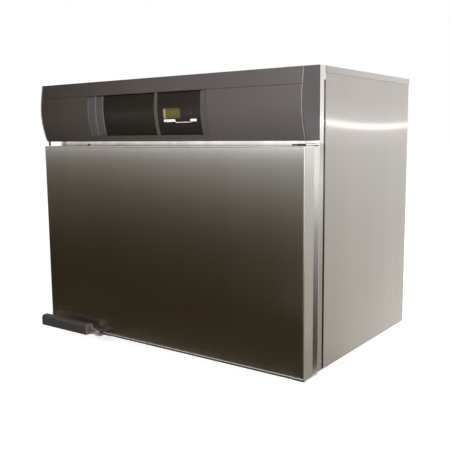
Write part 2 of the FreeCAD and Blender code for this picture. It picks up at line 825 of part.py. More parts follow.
def inlet_socket():
    y_out = rear_out + inlet_flange[1]
    flange = block(about(inlet_x, inlet_flange[0]), (rear_out, y_out), about(entry_z, inlet_flange[2]))
    body = block(about(inlet_x, inlet_body[0]), (rear_out - inlet_body[1], rear_out), about(entry_z, inlet_body[2]))
    recess_y = (y_out - inlet_recess[1], y_out)
    recess = block(about(inlet_x, inlet_recess[0]), recess_y, about(entry_z, inlet_recess[2]))
    blades = []
    for step in (-1, 0, 1):
        x = inlet_x + step * inlet_blade_pitch
        blades.append(block(about(x, inlet_blade[0]), (recess_y[0] - inlet_blade_root, recess_y[0] + inlet_blade[1]),
                            about(entry_z, inlet_blade[2])))
    return joined([joined([flange, body]).cut(recess)] + blades)


def fuse_holder():
    cap = rod(fuse_cap[0] / 2, (fuse_x, rear_out, entry_z), (0, 1, 0), fuse_cap[1])
    barrel = rod(fuse_diameter / 2, (fuse_x, rear_out - fuse_length, entry_z), (0, 1, 0), fuse_length)
    slot_y = (rear_out + fuse_cap[1] - fuse_slot[1], rear_out + fuse_cap[1])
    slot = block(about(fuse_x, fuse_diameter), slot_y, about(entry_z, fuse_slot[0]))
    return joined([cap, barrel]).cut(slot)


def switch_housing():
    y_out = rear_out + switch_flange[1]
    flange = block(about(switch_x, switch_flange[0]), (rear_out, y_out), about(entry_z, switch_flange[2]))
    body = block(about(switch_x, switch_body[0]), (rear_out - switch_body[1], rear_out), about(entry_z, switch_body[2]))
    well = block(about(switch_x, rocker_size[0] + 2 * entry_gap), (y_out - rocker_size[1] - rocker_room, y_out),
                 about(entry_z, rocker_size[2] + 2 * entry_gap))
    axle_y = y_out - rocker_size[1] / 2
    bar = rod(axle_diameter / 2, (switch_x - rocker_size[0] / 2 - axle_root, axle_y, entry_z), (1, 0, 0),
              rocker_size[0] + 2 * axle_root)
    return joined([joined([flange, body]).cut(well), bar])


def power_rocker():
    """A rocker with two sloping faces that meet over its axle."""
    y_out = rear_out + switch_flange[1]
    axle_y = y_out - rocker_size[1] / 2
    half = rocker_size[2] / 2 - rocker_end
    crown = rocker_size[1] / 2 + rocker_crown
    edge = crown + half * math.tan(math.radians(rocker_tilt))
    points = [(-rocker_size[1] / 3, -half), (edge, -half), (crown, 0), (edge, half), (-rocker_size[1] / 3, half)]
    body = prism_x([(axle_y + y, entry_z + z) for y, z in points], about(switch_x, rocker_size[0]))
    body = body.cut(rod(axle_diameter / 2 + running_gap, (switch_x - rocker_size[0], axle_y, entry_z), (1, 0, 0),
                        rocker_size[0] * 2))
    body.rotate(Vector(switch_x, axle_y, entry_z), Vector(1, 0, 0), rocker_tilt)
    return body


# ---------------------------------------------------------------- fascia and controls

def fascia_body(x, setback):
    """The fascia's full cross-section between two x values, moved back by setback."""
    front = Part.Arc(
        Vector(0, -fascia_bottom_depth, fascia_z),
        Vector(0, -fascia_belly_depth, fascia_z + fascia_belly_height),
        Vector(0, -fascia_crease_depth, fascia_z + fascia_crease_height),
    ).toShape()
    corners = [
        (-fascia_crease_depth, fascia_z + fascia_crease_height),
        (-fascia_top_depth, fascia_top - fascia_front_drop),
        (0, fascia_top),
        (0, fascia_z),
        (-fascia_bottom_depth, fascia_z),
    ]
    lines = [Part.makeLine(Vector(0, *a), Vector(0, *b)) for a, b in zip(corners, corners[1:])]
    body = Part.Face(Part.Wire([front] + lines)).extrude(Vector(x[1] - x[0], 0, 0))
    body.translate(Vector(x[0], setback, 0))
    return body


def face_layer(x, z, near, far):
    """What lies between two depths under the fascia's front, over a rectangle of it."""
    layer = fascia_body(x, near).cut(fascia_body(x, far))
    return layer.common(block(x, (-2 * fascia_belly_depth, 0), z))


def pocket(x, z, depth):
    """A recess sunk to a depth under the fascia's front."""
    return block(x, (-2 * fascia_belly_depth, 0), z).cut(fascia_body(x, depth))


def behind_face(x, z, depth, back):
    """A bar through the fascia's front, from a depth under it to a flat back."""
    return fascia_body(x, depth).common(block(x, (-2 * fascia_belly_depth, back), z))


def boss_places():
    x = half_width - boss_inset
    return [(sx * x, z) for sx in (-1, 1) for z in (fascia_z + boss_edge, fascia_top - boss_edge)]


def board_face():
    return -board_depth


def control_span(left, width):
    return (control_x[0] + left, control_x[0] + left + width)


def control_cuts(play):
    """Bars where the display, light and keys pass through, widened by a clearance."""
    deep = (-2 * fascia_belly_depth, board_face())
    display_z = (fascia_z + display_height, fascia_z + display_height + display_size[1])
    cuts = [block(control_span(display_x, display_size[0]), deep, display_z)]
    light = (control_x[0] + light_x, deep[0], fascia_z + light_height)
    cuts.append(rod(light_diameter / 2, light, (0, 1, 0), deep[1] - deep[0]))
    for left, width in ((set_key_x, set_key_width), (power_key_x, power_key_width)):
        x = control_span(left - play, width + 2 * play)
        z = (fascia_z + key_bottom - play, fascia_z + key_bottom + key_height + play)
        cuts.append(block(x, deep, z))
    return cuts


def fascia():
    x = both_ways(half_width - end_cap)
    hollow = fascia_body(x, fascia_wall)
    hollow.translate(Vector(0, 0, -fascia_wall))
    hollow = hollow.common(block(x, (-2 * fascia_belly_depth, fascia_wall), (fascia_z + fascia_wall, fascia_top)))
    shell = fascia_body(x, 0).cut(hollow)
    pad_x = (window_steps[0] - fascia_wall, right_step_x[1] + fascia_wall)
    pad_z = (window_z[0] - fascia_wall, window_z[1] + fascia_wall)
    backing = face_layer(pad_x, pad_z, fascia_wall / 2, window_depth + window_back)
    shell = joined([shell, backing])
    edges = list(window_steps) + [rib_x[0]]
    depths = (step_depth, 2 * step_depth, window_depth)
    pockets = [pocket((left, right), window_z, depth) for left, right, depth in zip(edges, edges[1:], depths)]
    pockets.append(pocket(rib_x, window_z, rib_depth))
    pockets.append(pocket(control_x, window_z, window_depth))
    pockets.append(pocket(right_step_x, window_z, right_step_depth))
    crease = fascia_z + fascia_crease_height
    pockets.append(pocket(x, (crease, crease + crease_width), crease_depth))
    bosses = []
    for bx, bz in boss_places():
        boss = rod(boss_diameter / 2, (bx, 0, bz), (0, -1, 0), fascia_belly_depth).common(fascia_body(x, fascia_wall / 2))
        bosses.append(boss.cut(rod(screw_shank[0] / 2, (bx, 0, bz), (0, -1, 0), screw_shank[1])))
    return without(joined([shell] + bosses), pockets + control_cuts(key_play))


def fascia_end_caps():
    cap = fascia_body((half_width - end_cap, half_width), 0)
    return [cap, mirrored(cap)]


def window_panel():
    x = (window_steps[-1] + panel_play, rib_x[0] - panel_play)
    return face_layer(x, panel_z, panel_face, window_depth)


def control_panel():
    x = (control_x[0] + panel_play, control_x[1] - panel_play)
    return without(face_layer(x, panel_z, panel_face, window_depth), control_cuts(key_play))


def display():
    z = (fascia_z + display_height, fascia_z + display_height + display_size[1])
    return behind_face(control_span(display_x, display_size[0]), z, panel_face, board_face())


def status_light():
    place = (control_x[0] + light_x, -2 * fascia_belly_depth, fascia_z + light_height)
    bar = rod(light_diameter / 2, place, (0, 1, 0), 2 * fascia_belly_depth + board_face())
    return bar.common(fascia_body(control_x, panel_face - key_proud / 2))


def key(left, width):
    z = (fascia_z + key_bottom, fascia_z + key_bottom + key_height)
    back = board_face() - key_travel - key_play
    return behind_face(control_span(left, width), z, panel_face - key_proud, back)


def housing_box(inset):
    x = (control_x[0] + board_margin + inset, control_x[1] - board_margin - inset)
    return x, (fascia_z + board_low + inset, fascia_z + board_high - inset)


def controller_board():
    x, z = housing_box(housing_wall)
    return block(x, (board_face(), board_face() + board_thickness), z)


def controller_housing():
    """A deep plastic box behind the window, its rim following the fascia's back."""
    x, z = housing_box(0)
    inner_box_x, inner_box_z = housing_box(housing_wall)
    back = board_face() + housing_depth
    front = -2 * fascia_belly_depth
    shell = block(x, (front, back), z).cut(block(inner_box_x, (front, back - housing_wall), inner_box_z))
    cable = (sum(x) / 2, back - housing_wall, sum(z) / 2)
    shell = shell.cut(rod(boss_diameter / 2, cable, (0, 1, 0), housing_wall))
    return shell.common(fascia_body(x, window_depth + window_back))


# ---------------------------------------------------------------- door

def door_outer_pan():
    x = both_ways(half_width)
    body = block(x, (door_front, door_back), door_z)
    body = rounded(body, door_edge_radius, lambda middle: middle.y < door_front + edge_pick)
    wall = door_sheet
    inner_z = (door_z[0] + wall, door_z[1] - wall)
    inner = block(both_ways(half_width - wall), (door_front + wall, door_back - wall), inner_z)
    mouth_z = (door_z[0] + door_return, door_z[1] - door_return)
    mouth = block(both_ways(half_width - door_return), (door_back - wall, door_back), mouth_z)
    holes = rod(pin_r + bushing_wall, (*pivot, door_z[0]), (0, 0, 1), door_z[1] - door_z[0])
    return without(body, [inner, mouth, holes])


def door_insulation():
    wall = door_sheet + soft_gap
    z = (door_z[0] + wall, door_z[1] - wall)
    pad = block(both_ways(half_width - wall), (door_front + wall, door_back - wall), z)
    return pad.cut(rod(pin_r + bushing_wall + soft_gap, (*pivot, z[0]), (0, 0, 1), z[1] - z[0]))


def door_liner():
    sheet = liner_sheet
    edge = door_return - door_liner_lap
    plate_z = (door_z[0] + edge, door_z[1] - edge)
    plate = block(both_ways(half_width - edge), (door_back, door_back + sheet), plate_z)
    plug_half = open_half - plug_margin
    plug_z = (open_z[0] + plug_margin, open_z[1] - plug_margin)
    plug = block(both_ways(plug_half), (door_back, door_back + plug_depth), plug_z)
    hollow_z = (plug_z[0] + sheet, plug_z[1] - sheet)
    hollow = block(both_ways(plug_half - sheet), (door_back, door_back + plug_depth - sheet), hollow_z)
    return joined([plate, plug]).cut(hollow)


def door_gasket():
    y = (door_back + liner_sheet, -soft_gap)
    out = gasket_width
    inner = block(both_ways(gasket_in_x), y, gasket_in_z)
    outer_z = (gasket_in_z[0] - out, gasket_in_z[1] + out)
    return block(both_ways(gasket_in_x + out), y, outer_z).cut(inner)


def bracket_levels():
    """Underside of the upper bracket's arm and top of the lower one's."""
    room = bushing_flange[1] + soft_gap
    return door_z[1] + room, door_z[0] - room


def hinge_bushings():
    grip = pin_grip + running_gap
    outer = pin_r + bushing_wall
    inner = pin_r + running_gap
    upper = joined([
        ring(outer, inner, (*pivot, door_z[1] - grip), (0, 0, 1), grip),
        ring(bushing_flange[0] / 2, inner, (*pivot, door_z[1]), (0, 0, 1), bushing_flange[1]),
    ])
    lower = joined([
        ring(outer, inner, (*pivot, door_z[0]), (0, 0, 1), grip),
        ring(bushing_flange[0] / 2, inner, (*pivot, door_z[0] - bushing_flange[1]), (0, 0, 1), bushing_flange[1]),
    ])
    return [upper, lower]


def hinge_bracket(arm_low, leg_z):
    """An arm over or under the door's pivot, with a leg screwed to the face frame."""
    inner = half_width - bracket_width
    arm_z = (arm_low, arm_low + bracket_thickness)
    arm = block((inner, half_width), (pivot[1] - bracket_nose, 0), arm_z)
    leg = block((half_width - bracket_leg[0], half_width), (-bracket_thickness, 0), leg_z)
    hole = rod(pin_r, (*pivot, arm_low), (0, 0, 1), bracket_thickness)
    screws = [rod(screw_shank[0] / 2, (half_width - bracket_leg[0] / 2, -bracket_thickness, z), (0, 1, 0),
                  bracket_thickness) for z in hinge_screw_z(leg_z)]
    return without(joined([arm, leg]), [hole] + screws)


def hinge_legs():
    upper_arm, lower_arm = bracket_levels()
    upper = (upper_arm + bracket_thickness - bracket_leg[1], upper_arm + bracket_thickness)
    lower = (lower_arm - bracket_thickness, lower_arm - bracket_thickness + bracket_leg[1])
    return upper, lower


def hinge_screw_z(leg_z):
    return (leg_z[0] + bracket_leg[1] / 4, leg_z[1] - bracket_leg[1] / 4)


def hinge_brackets():
    upper_arm, lower_arm = bracket_levels()
    upper_leg, lower_leg = hinge_legs()
    return [hinge_bracket(upper_arm, upper_leg), hinge_bracket(lower_arm - bracket_thickness, lower_leg)]


def hinge_pins():
    upper_arm, lower_arm = bracket_levels()
    low = door_z[1] - pin_grip
    upper = rod(pin_r, (*pivot, low), (0, 0, 1), upper_arm + bracket_thickness - low)
    start = lower_arm - bracket_thickness
    lower = rod(pin_r, (*pivot, start), (0, 0, 1), door_z[0] + pin_grip - start)
    return [upper, lower]


def strike_z():
    return (door_z[1] - door_return + door_liner_lap, door_z[1] - strike_edge)


def magnetic_catch():
    y = (door_back + strike_thickness + soft_gap, 0)
    z = (door_z[1] - catch_drop - catch_size[1], door_z[1] - catch_drop)
    case = block(about(catch_x, catch_size[0]), y, z)
    return rounded(case, catch_round, lambda middle: middle.y < y[0] + edge_pick)


def catch_strike():
    return block(about(catch_x, catch_size[0]), (door_back, door_back + strike_thickness), strike_z())


def door_sensor():
    z = (door_z[1] - catch_drop - catch_size[1], door_z[1] - catch_drop)
    return block(about(sensor_x, sensor_size[0]), (-sensor_size[1], 0), z)


def sensor_magnet():
    return block(about(sensor_x, magnet_size[0]), (door_back, door_back + magnet_size[1]), strike_z())


# ---------------------------------------------------------------- foot opener

def ear_planes():
    """Inner faces of the bracket's two ears, with the spring beside the barrel."""
    return barrel_x[0] - spring_room, barrel_x[1] + ear_play


def pedal_bracket():
    y, z = pedal_axis
    top = door_z[0]
    left, right = ear_planes()
    reach = barrel_diameter / 2 + ear_margin
    outline = [(y - reach, top), (y - reach, z), (y, z - reach), (y + reach, z), (y + reach, top)]
    ears = [prism_x(outline, (left - ear_thickness, left)), prism_x(outline, (right, right + ear_thickness))]
    seat = block((left - ear_thickness, right + ear_thickness), (y - reach, y + reach), (top - ear_thickness, top))
    bracket = joined(ears + [seat])
    hole = rod(pedal_pin_diameter / 2, (left - ear_thickness, y, z), (1, 0, 0), right - left + 2 * ear_thickness)
    return bracket.cut(hole)


def pedal_pin():
    y, z = pedal_axis
    left, right = ear_planes()
    start = left - ear_thickness
    return rod(pedal_pin_diameter / 2, (start, y, z), (1, 0, 0), right + ear_thickness - start)


def pedal_lever():
    """A bent strip: a tongue in the pad with an upstand, an arm under the door, a barrel and a heel."""
    y, z = pedal_axis
    tongue_z = (pad_z[0] + lever_embed, pad_z[0] + lever_embed + lever_thickness)
    tongue_y = (pad_front + lever_inset, pad_front + pad_depth - lever_inset)
    tongue = block((pad_x[0] + lever_inset, lever_x[1]), tongue_y, tongue_z)
    arm_top = z + barrel_diameter / 2
    bend = door_front - pad_gap / 2
    arm = prism_x([
        (tongue_y[1], tongue_z[1]), (tongue_y[1] - lever_thickness, tongue_z[0]),
        (bend, arm_top - lever_thickness), (y, arm_top - lever_thickness), (y, arm_top), (bend + lever_crank, arm_top),
    ], lever_x)
    web_x = (lever_x[0] + web_play, lever_x[1])
    outline = [Vector(x, tongue_y[1] - lever_thickness, height) for x, height in (
        (web_x[0], tongue_z[0]), (web_x[1], tongue_z[0]),
        (web_x[1], tongue_z[1] + web_rise[1]), (web_x[0], tongue_z[1] + web_rise[0]),
    )]
    web = Part.Face(Part.makePolygon(outline + outline[:1])).extrude(Vector(0, lever_thickness, 0))
    barrel = rod(barrel_diameter / 2, (barrel_x[0], y, z), (1, 0, 0), barrel_length)
    heel_x = about(sum(barrel_x) / 2, heel_width)
    heel_end = -heel_gap
    heel = prism_x([
        (y, z), (y, z - heel_thickness), (heel_end, z - heel_drop),
        (heel_end, z - heel_drop + heel_thickness), (y + barrel_diameter / 2, z),
    ], heel_x)
    lever = joined([tongue, web, arm, barrel, heel])
    return lever.cut(rod(pedal_pin_diameter / 2 + running_gap, (barrel_x[0], y, z), (1, 0, 0), barrel_length))


def pedal_pad():
    """A moulded rubber bar with a rounded back, slipped over the lever's tongue."""
    body = block(pad_x, (pad_front, pad_front + pad_depth), pad_z)
    body = rounded(body, pad_round,
                   lambda m: m.z > pad_z[1] - edge_pick and pad_x[0] < m.x - edge_pick < pad_x[1] - 2 * edge_pick)
    body = rounded(body, pad_end_round, lambda m: m.x > pad_x[1] - edge_pick and m.z > pad_z[0] + edge_pick)
    tongue_z = (pad_z[0] + lever_embed, pad_z[0] + lever_embed + lever_thickness)
    tongue_y = (pad_front + lever_inset, pad_front + pad_depth - lever_inset)
    return body.cut(block((pad_x[0] + lever_inset, pad_x[1]), tongue_y, tongue_z))


def pedal_spring():
    """A torsion spring on the pin beside the barrel, with one leg forward and one on the barrel."""
    y, z = pedal_axis
    coil_r = pedal_pin_diameter / 2 + spring_wire
    pitch = (spring_room - 2 * spring_wire - 2 * ear_play) / spring_turns
    length = pitch * spring_turns
    helix = Part.makeHelix(pitch, length, coil_r)
    start = Vector(coil_r, 0, 0)
    slope = Vector(0, 2 * math.pi * coil_r, pitch)
    section = Part.Wire(Part.makeCircle(spring_wire / 2, start, slope))
    coil = Part.Wire(helix.Edges).makePipeShell([section], True, True)
    coil.rotate(Vector(0, 0, 0), Vector(0, 1, 0), 90)
    coil.translate(Vector(barrel_x[0] - spring_room + ear_play + spring_wire, y, z))
    return coil


def kick_stop():
    """An angle under the cabinet's front edge that the pedal's heel meets."""
    x = about(sum(barrel_x) / 2, stop_width)
    low = pedal_axis[1] - heel_drop - stop_reach
    seat = block(x, (0, stop_seat), (base_z - stop_sheet, base_z))
    face = block(x, (0, stop_sheet), (low, base_z))
    return joined([seat, face])


# ---------------------------------------------------------------- the set of nodes

def build():
    os.makedirs("parts", exist_ok=True)
    pieces = {
        "base_pan": base_pan(),
        "side_panel_left": mirrored(side_panel()),
        "side_panel_right": side_panel(),
        "rear_panel": rear_panel(),
        "top_cover": top_cover(),
        "face_frame": face_frame(),
        "machine_deck": machine_deck(),
        "chamber_liner": chamber_liner(),
        "insulation_batts": insulation_batts(),
        "shelf_pilasters": shelf_pilasters(),
        "shelf_clips": shelf_clips(),
        "wire_shelf": wire_shelf(),
        "ceiling_baffle": ceiling_baffle(),
        "shaft_sleeve": shaft_sleeve(),
        "motor_housing": motor_housing(),
        "motor_stator": motor_stator(),
        "motor_bearings": motor_bearings(),
        "heater_element": heater_element(),
        "temperature_probe": temperature_probe(),
        "overheat_thermostat": overheat_thermostat(),
        "heat_sink": heat_sink(),
        "solid_state_relay": solid_state_relay(),
        "terminal_block": terminal_block(),
        "inlet_socket": inlet_socket(),
        "fuse_holder": fuse_holder(),
        "switch_housing": switch_housing(),
        "fascia": fascia(),
        "fascia_end_caps": fascia_end_caps(),
        "window_panel": window_panel(),
        "control_panel": control_panel(),
        "display": display(),
        "status_light": status_light(),
        "controller_board": controller_board(),
        "controller_housing": controller_housing(),
        "machine_screws": machine_screws(),
        "levelling_feet": levelling_feet(),
        "foot_lock_nuts": foot_lock_nuts(),
        "hinge_brackets": hinge_brackets(),
        "hinge_pins": hinge_pins(),
        "magnetic_catch": magnetic_catch(),
        "door_sensor": door_sensor(),
        "kick_stop": kick_stop(),
        "door_outer_pan": door_outer_pan(),
        "door_insulation": door_insulation(),
        "door_liner": door_liner(),
        "door_gasket": door_gasket(),
        "hinge_bushings": hinge_bushings(),
        "catch_strike": catch_strike(),
        "sensor_magnet": sensor_magnet(),
        "pedal_bracket": pedal_bracket(),
        "pedal_pin": pedal_pin(),
        "pedal_lever": pedal_lever(),
        "pedal_pad": pedal_pad(),
        "pedal_spring": pedal_spring(),
        "fan_wheel": fan_wheel(),
        "fan_shaft": fan_shaft(),
        "motor_rotor": motor_rotor(),
        "power_rocker": power_rocker(),
        "set_key": key(set_key_x, set_key_width),
        "power_key": key(power_key_x, power_key_width),
    }
    for name, shapes in pieces.items():
        save(name, shapes)


build()
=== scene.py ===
import math

import bpy
from mathutils import Matrix, Vector


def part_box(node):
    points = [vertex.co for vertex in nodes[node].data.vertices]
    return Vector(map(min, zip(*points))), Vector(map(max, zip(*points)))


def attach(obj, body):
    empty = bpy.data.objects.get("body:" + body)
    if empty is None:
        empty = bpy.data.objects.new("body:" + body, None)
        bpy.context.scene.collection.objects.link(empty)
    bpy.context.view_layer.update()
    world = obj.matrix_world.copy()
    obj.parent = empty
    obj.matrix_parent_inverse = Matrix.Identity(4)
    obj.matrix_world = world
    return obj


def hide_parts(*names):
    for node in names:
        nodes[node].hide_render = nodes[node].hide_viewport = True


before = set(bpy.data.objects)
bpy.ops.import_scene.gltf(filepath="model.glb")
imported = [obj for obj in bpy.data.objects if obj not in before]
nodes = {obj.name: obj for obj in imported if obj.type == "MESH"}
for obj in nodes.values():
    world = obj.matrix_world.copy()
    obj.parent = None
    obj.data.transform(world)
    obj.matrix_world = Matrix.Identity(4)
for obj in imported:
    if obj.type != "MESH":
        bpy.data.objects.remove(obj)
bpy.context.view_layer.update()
bpy.ops.object.select_all(action="DESELECT")


# ------------------------------------------------------------------ camera
# Stands off the right front corner, a little under the cabinet's top, and looks
# slightly down and to the left.
camera = bpy.data.objects.new("camera", bpy.data.cameras.new("camera"))
bpy.context.scene.collection.objects.link(camera)
camera.data.sensor_width = 36.0
camera.data.lens = 53.04
camera.data.clip_start = 0.05
turn = Matrix.Rotation(math.radians(36.18), 4, "Z") @ Matrix.Rotation(math.radians(90.0 - 7.77), 4, "X")
tilt = Matrix.Rotation(math.radians(-0.59), 4, "Z")
camera.matrix_world = Matrix.Translation((1.006, -1.3606, 0.519)) @ turn @ tilt
bpy.context.scene.camera = camera
bpy.context.scene.view_settings.view_transform = "Standard"


# ------------------------------------------------------------------ room
# A pale floor under an even white sky. Camera, mirror and glass rays see the sky at
# full white, and the object itself is lit at a plain level.
def new_finish(name):
    """A new finish: its node tree, its shader, and the Object coordinates that patterns read."""
    material = bpy.data.materials.new(name)
    material.use_nodes = True
    tree = material.node_tree
    place = tree.nodes.new("ShaderNodeTexCoord").outputs["Object"]
    return material, tree, tree.nodes["Principled BSDF"], place


def cover(piece, material):
    """One finish all over a piece."""
    piece.data.materials.clear()
    piece.data.materials.append(material)


def calculated(tree, way, first, second=0.0):
    """One step of arithmetic on sockets or numbers."""
    step = tree.nodes.new("ShaderNodeMath")
    step.operation = way
    for socket, value in zip(step.inputs, (first, second)):
        if isinstance(value, bpy.types.NodeSocket):
            tree.links.new(value, socket)
        else:
            socket.default_value = value
    return step.outputs[0]


def seen_directly(tree):
    """1 for camera, mirror and glass rays, and 0 for the light that reaches the object."""
    rays = tree.nodes.new("ShaderNodeLightPath").outputs
    seen = calculated(tree, "MAXIMUM", rays["Is Camera Ray"], rays["Is Glossy Ray"])
    return calculated(tree, "MAXIMUM", seen, rays["Is Transmission Ray"])


light_from_sky, sky_as_seen, floor_lift = 0.42, 1.0, 0.72
sky = bpy.data.worlds.new("sky")
sky.use_nodes = True
bpy.context.scene.world = sky
sky_level = sky.node_tree.nodes.new("ShaderNodeMapRange")
sky.node_tree.links.new(seen_directly(sky.node_tree), sky_level.inputs["Value"])
sky_level.inputs["To Min"].default_value = light_from_sky
sky_level.inputs["To Max"].default_value = sky_as_seen
sky_back = sky.node_tree.nodes["Background"]
sky_back.inputs["Color"].default_value = (1.0, 1.0, 1.0, 1.0)
sky.node_tree.links.new(sky_level.outputs["Result"], sky_back.inputs["Strength"])

bpy.ops.mesh.primitive_plane_add(size=60.0, location=(0.0, 0.0, 0.0))
floor = bpy.context.object
floor.name = "floor"
floor_paint, tree, shader, place = new_finish("pale_floor")
shader.inputs["Base Color"].default_value = (0.86, 0.855, 0.85, 1.0)
shader.inputs["Roughness"].default_value = 0.9
shader.inputs["Specular IOR Level"].default_value = 0.0
shader.inputs["Emission Color"].default_value = (1.0, 1.0, 1.0, 1.0)
lift = calculated(tree, "MULTIPLY", seen_directly(tree), floor_lift)
tree.links.new(lift, shader.inputs["Emission Strength"])
cover(floor, floor_paint)

for name, spot, aim, size, watts in (
    ("front_light", (0.95, -1.0, 1.05), (0.1, -0.25, 0.45), 0.45, 26.0),
    ("side_light", (2.3, -0.3, 1.9), (0.0, 0.0, 0.3), 1.6, 46.0),
):
    lamp = bpy.data.objects.new(name, bpy.data.lights.new(name, "AREA"))
    bpy.context.scene.collection.objects.link(lamp)
    lamp.data.shape = "SQUARE"
    lamp.data.size = size
    lamp.data.energy = watts
    lamp.visible_camera = lamp.visible_glossy = False
    lamp.location = spot
    lamp.rotation_euler = (Vector(spot) - Vector(aim)).to_track_quat("Z", "Y").to_euler()


# ------------------------------------------------------------------ what the steel mirrors
# A dark brown screen stands in front and to the left over a dark mat, and a grey one to
# the right. Only mirror rays see them, so they give the steel its tone and light nothing.
def along(tree, place, axis):
    """One coordinate of a place."""
    split = tree.nodes.new("ShaderNodeSeparateXYZ")
    tree.links.new(place, split.inputs[0])
    return split.outputs["XYZ".index(axis)]


def spread(tree, value, low, high, start=0.3, end=0.7):
    """Goes from low to high while a value goes from start to end: the middle of a noise, if not given."""
    node = tree.nodes.new("ShaderNodeMapRange")
    tree.links.new(value, node.inputs["Value"])
    for name, number in (("From Min", start), ("From Max", end), ("To Min", low), ("To Max", high)):
        node.inputs[name].default_value = number
    return node.outputs["Result"]


def tones(tree, value, *stops):
    """A colour ramp of stops: (position, colour or grey level)."""
    ramp = tree.nodes.new("ShaderNodeValToRGB")
    while len(ramp.color_ramp.elements) < len(stops):
        ramp.color_ramp.elements.new(0.5)
    for element, (at, colour) in zip(ramp.color_ramp.elements, stops):
        element.position = at
        element.color = (*colour, 1.0) if hasattr(colour, "__len__") else (colour, colour, colour, 1.0)
    tree.links.new(value, ramp.inputs["Fac"])
    return ramp.outputs["Color"]


def ramp_along(tree, value, low, high, stops):
    """A colour ramp whose positions are shares of the way from low to high."""
    return tones(tree, spread(tree, value, 0.0, 1.0, low, high), *stops)


def mirror_card(name, centre, size, faces, paint):
    """A card that only mirror rays see. It faces along an axis, and paint fills its node tree."""
    bpy.ops.mesh.primitive_plane_add(size=1.0, location=(0.0, 0.0, 0.0))
    card = bpy.context.object
    card.name = name
    bpy.ops.object.mode_set(mode="EDIT")
    bpy.ops.mesh.select_all(action="SELECT")
    bpy.ops.transform.resize(value=(size[0], size[1], 1.0))
    if faces != "Z":
        about = {"X": "Y", "Y": "X"}[faces]
        bpy.ops.transform.rotate(value=math.radians(90.0), orient_axis=about, center_override=(0.0, 0.0, 0.0))
    bpy.ops.transform.translate(value=centre)
    bpy.ops.object.mode_set(mode="OBJECT")
    material = bpy.data.materials.new(name)
    material.use_nodes = True
    tree = material.node_tree
    tree.nodes.remove(tree.nodes["Principled BSDF"])
    glow = tree.nodes.new("ShaderNodeEmission")
    clear = tree.nodes.new("ShaderNodeBsdfTransparent")
    join = paint(tree, tree.nodes.new("ShaderNodeTexCoord").outputs["Object"], glow, clear)
    tree.links.new(join.outputs[0], tree.nodes["Material Output"].inputs["Surface"])
    cover(card, material)
    card.visible_camera = card.visible_diffuse = card.visible_shadow = card.visible_transmission = False


def blended(tree, share, first, second, way="MIX"):
    """Two colours mixed by a share: a pattern's value, or a number."""
    mix = tree.nodes.new("ShaderNodeMix")
    mix.data_type = "RGBA"
    mix.blend_type = way
    for socket, value in ((mix.inputs[0], share), (mix.inputs[6], first), (mix.inputs[7], second)):
        if isinstance(value, bpy.types.NodeSocket):
            tree.links.new(value, socket)
        else:
            socket.default_value = (*value, 1.0) if hasattr(value, "__len__") else value
    return mix.outputs[2]


def tinted(tree, first, second):
    """Two colours multiplied."""
    return blended(tree, 1.0, first, second, "MULTIPLY")


def faded(tree, glow, clear, share):
    """The card's light where share is 1, and nothing where it is 0."""
    mix = tree.nodes.new("ShaderNodeMixShader")
    tree.links.new(share, mix.inputs["Fac"])
    tree.links.new(clear.outputs[0], mix.inputs[1])
    tree.links.new(glow.outputs[0], mix.inputs[2])
    return mix


screen_y, screen_height = -0.80, 1.5
screen_span = (-2.4, 0.80)
mat_front = -0.29


def screen_paint(tree, place, glow, clear):
    """Nearly black low down, with a bright line over the door's top and a dim upper half."""
    x, z = along(tree, place, "X"), along(tree, place, "Z")
    upward = ramp_along(tree, z, 0.0, screen_height, [
        (0.000, (0.043, 0.0325, 0.0165)), (0.107, (0.058, 0.048, 0.028)), (0.157, (0.081, 0.067, 0.046)),
        (0.207, (0.128, 0.106, 0.078)), (0.232, (0.166, 0.143, 0.110)), (0.257, (0.208, 0.183, 0.145)),
        (0.297, (0.31, 0.295, 0.27)), (0.318, (0.42, 0.40, 0.385)), (0.328, (1.45, 1.43, 1.41)),
        (0.347, (1.45, 1.43, 1.41)), (0.356, (0.30, 0.28, 0.27)), (0.372, (0.075, 0.066, 0.062)),
    ])
    grey_across = ramp_along(tree, x, -1.10, 0.20, [
        (0.0, 0.70), (0.25, 0.84), (0.45, 1.00), (0.7, 1.26), (1.0, 1.62),
    ])
    cool_across = ramp_along(tree, x, -1.10, 0.20, [
        (0.0, (0.63, 0.60, 0.53)), (0.25, (0.84, 0.84, 0.82)), (0.45, (1.02, 1.03, 1.06)),
        (0.58, (1.20, 1.24, 1.42)), (0.75, (1.35, 1.48, 1.68)), (0.86, (1.53, 1.72, 2.00)),
        (1.0, (1.70, 1.92, 2.24)),
    ])
    across = blended(tree, spread(tree, z, 0.0, 0.85, 0.39, 0.44), cool_across, grey_across)
    higher = spread(tree, z, 0.3, 1.0, 0.08, 0.34)
    lower = tinted(tree, upward, blended(tree, higher, (0.92, 0.92, 0.92), across))
    upper = ramp_along(tree, x, -0.70, 0.25, [
        (0.0, (0.07, 0.06, 0.06)), (0.45, (0.10, 0.09, 0.09)), (0.8, 1.1), (1.0, 1.5),
    ])
    tree.links.new(blended(tree, spread(tree, z, 0.0, 1.0, 0.53, 0.56), lower, upper), glow.inputs["Color"])
    to_the_right = ramp_along(tree, x, 0.05, screen_span[1], [(0.0, 1.0), (0.5, 0.88), (1.0, 0.0)])
    return faded(tree, glow, clear, to_the_right)


def mat_paint(tree, place, glow, clear):
    """Nearly black, a little lighter towards the door."""
    tone = ramp_along(tree, along(tree, place, "Y"), screen_y, mat_front, [
        (0.0, (0.040, 0.030, 0.0145)), (1.0, (0.048, 0.038, 0.0205)),
    ])
    tree.links.new(tone, glow.inputs["Color"])
    return faded(tree, glow, clear, spread(tree, along(tree, place, "X"), 1.0, 0.0, 0.42, screen_span[1]))


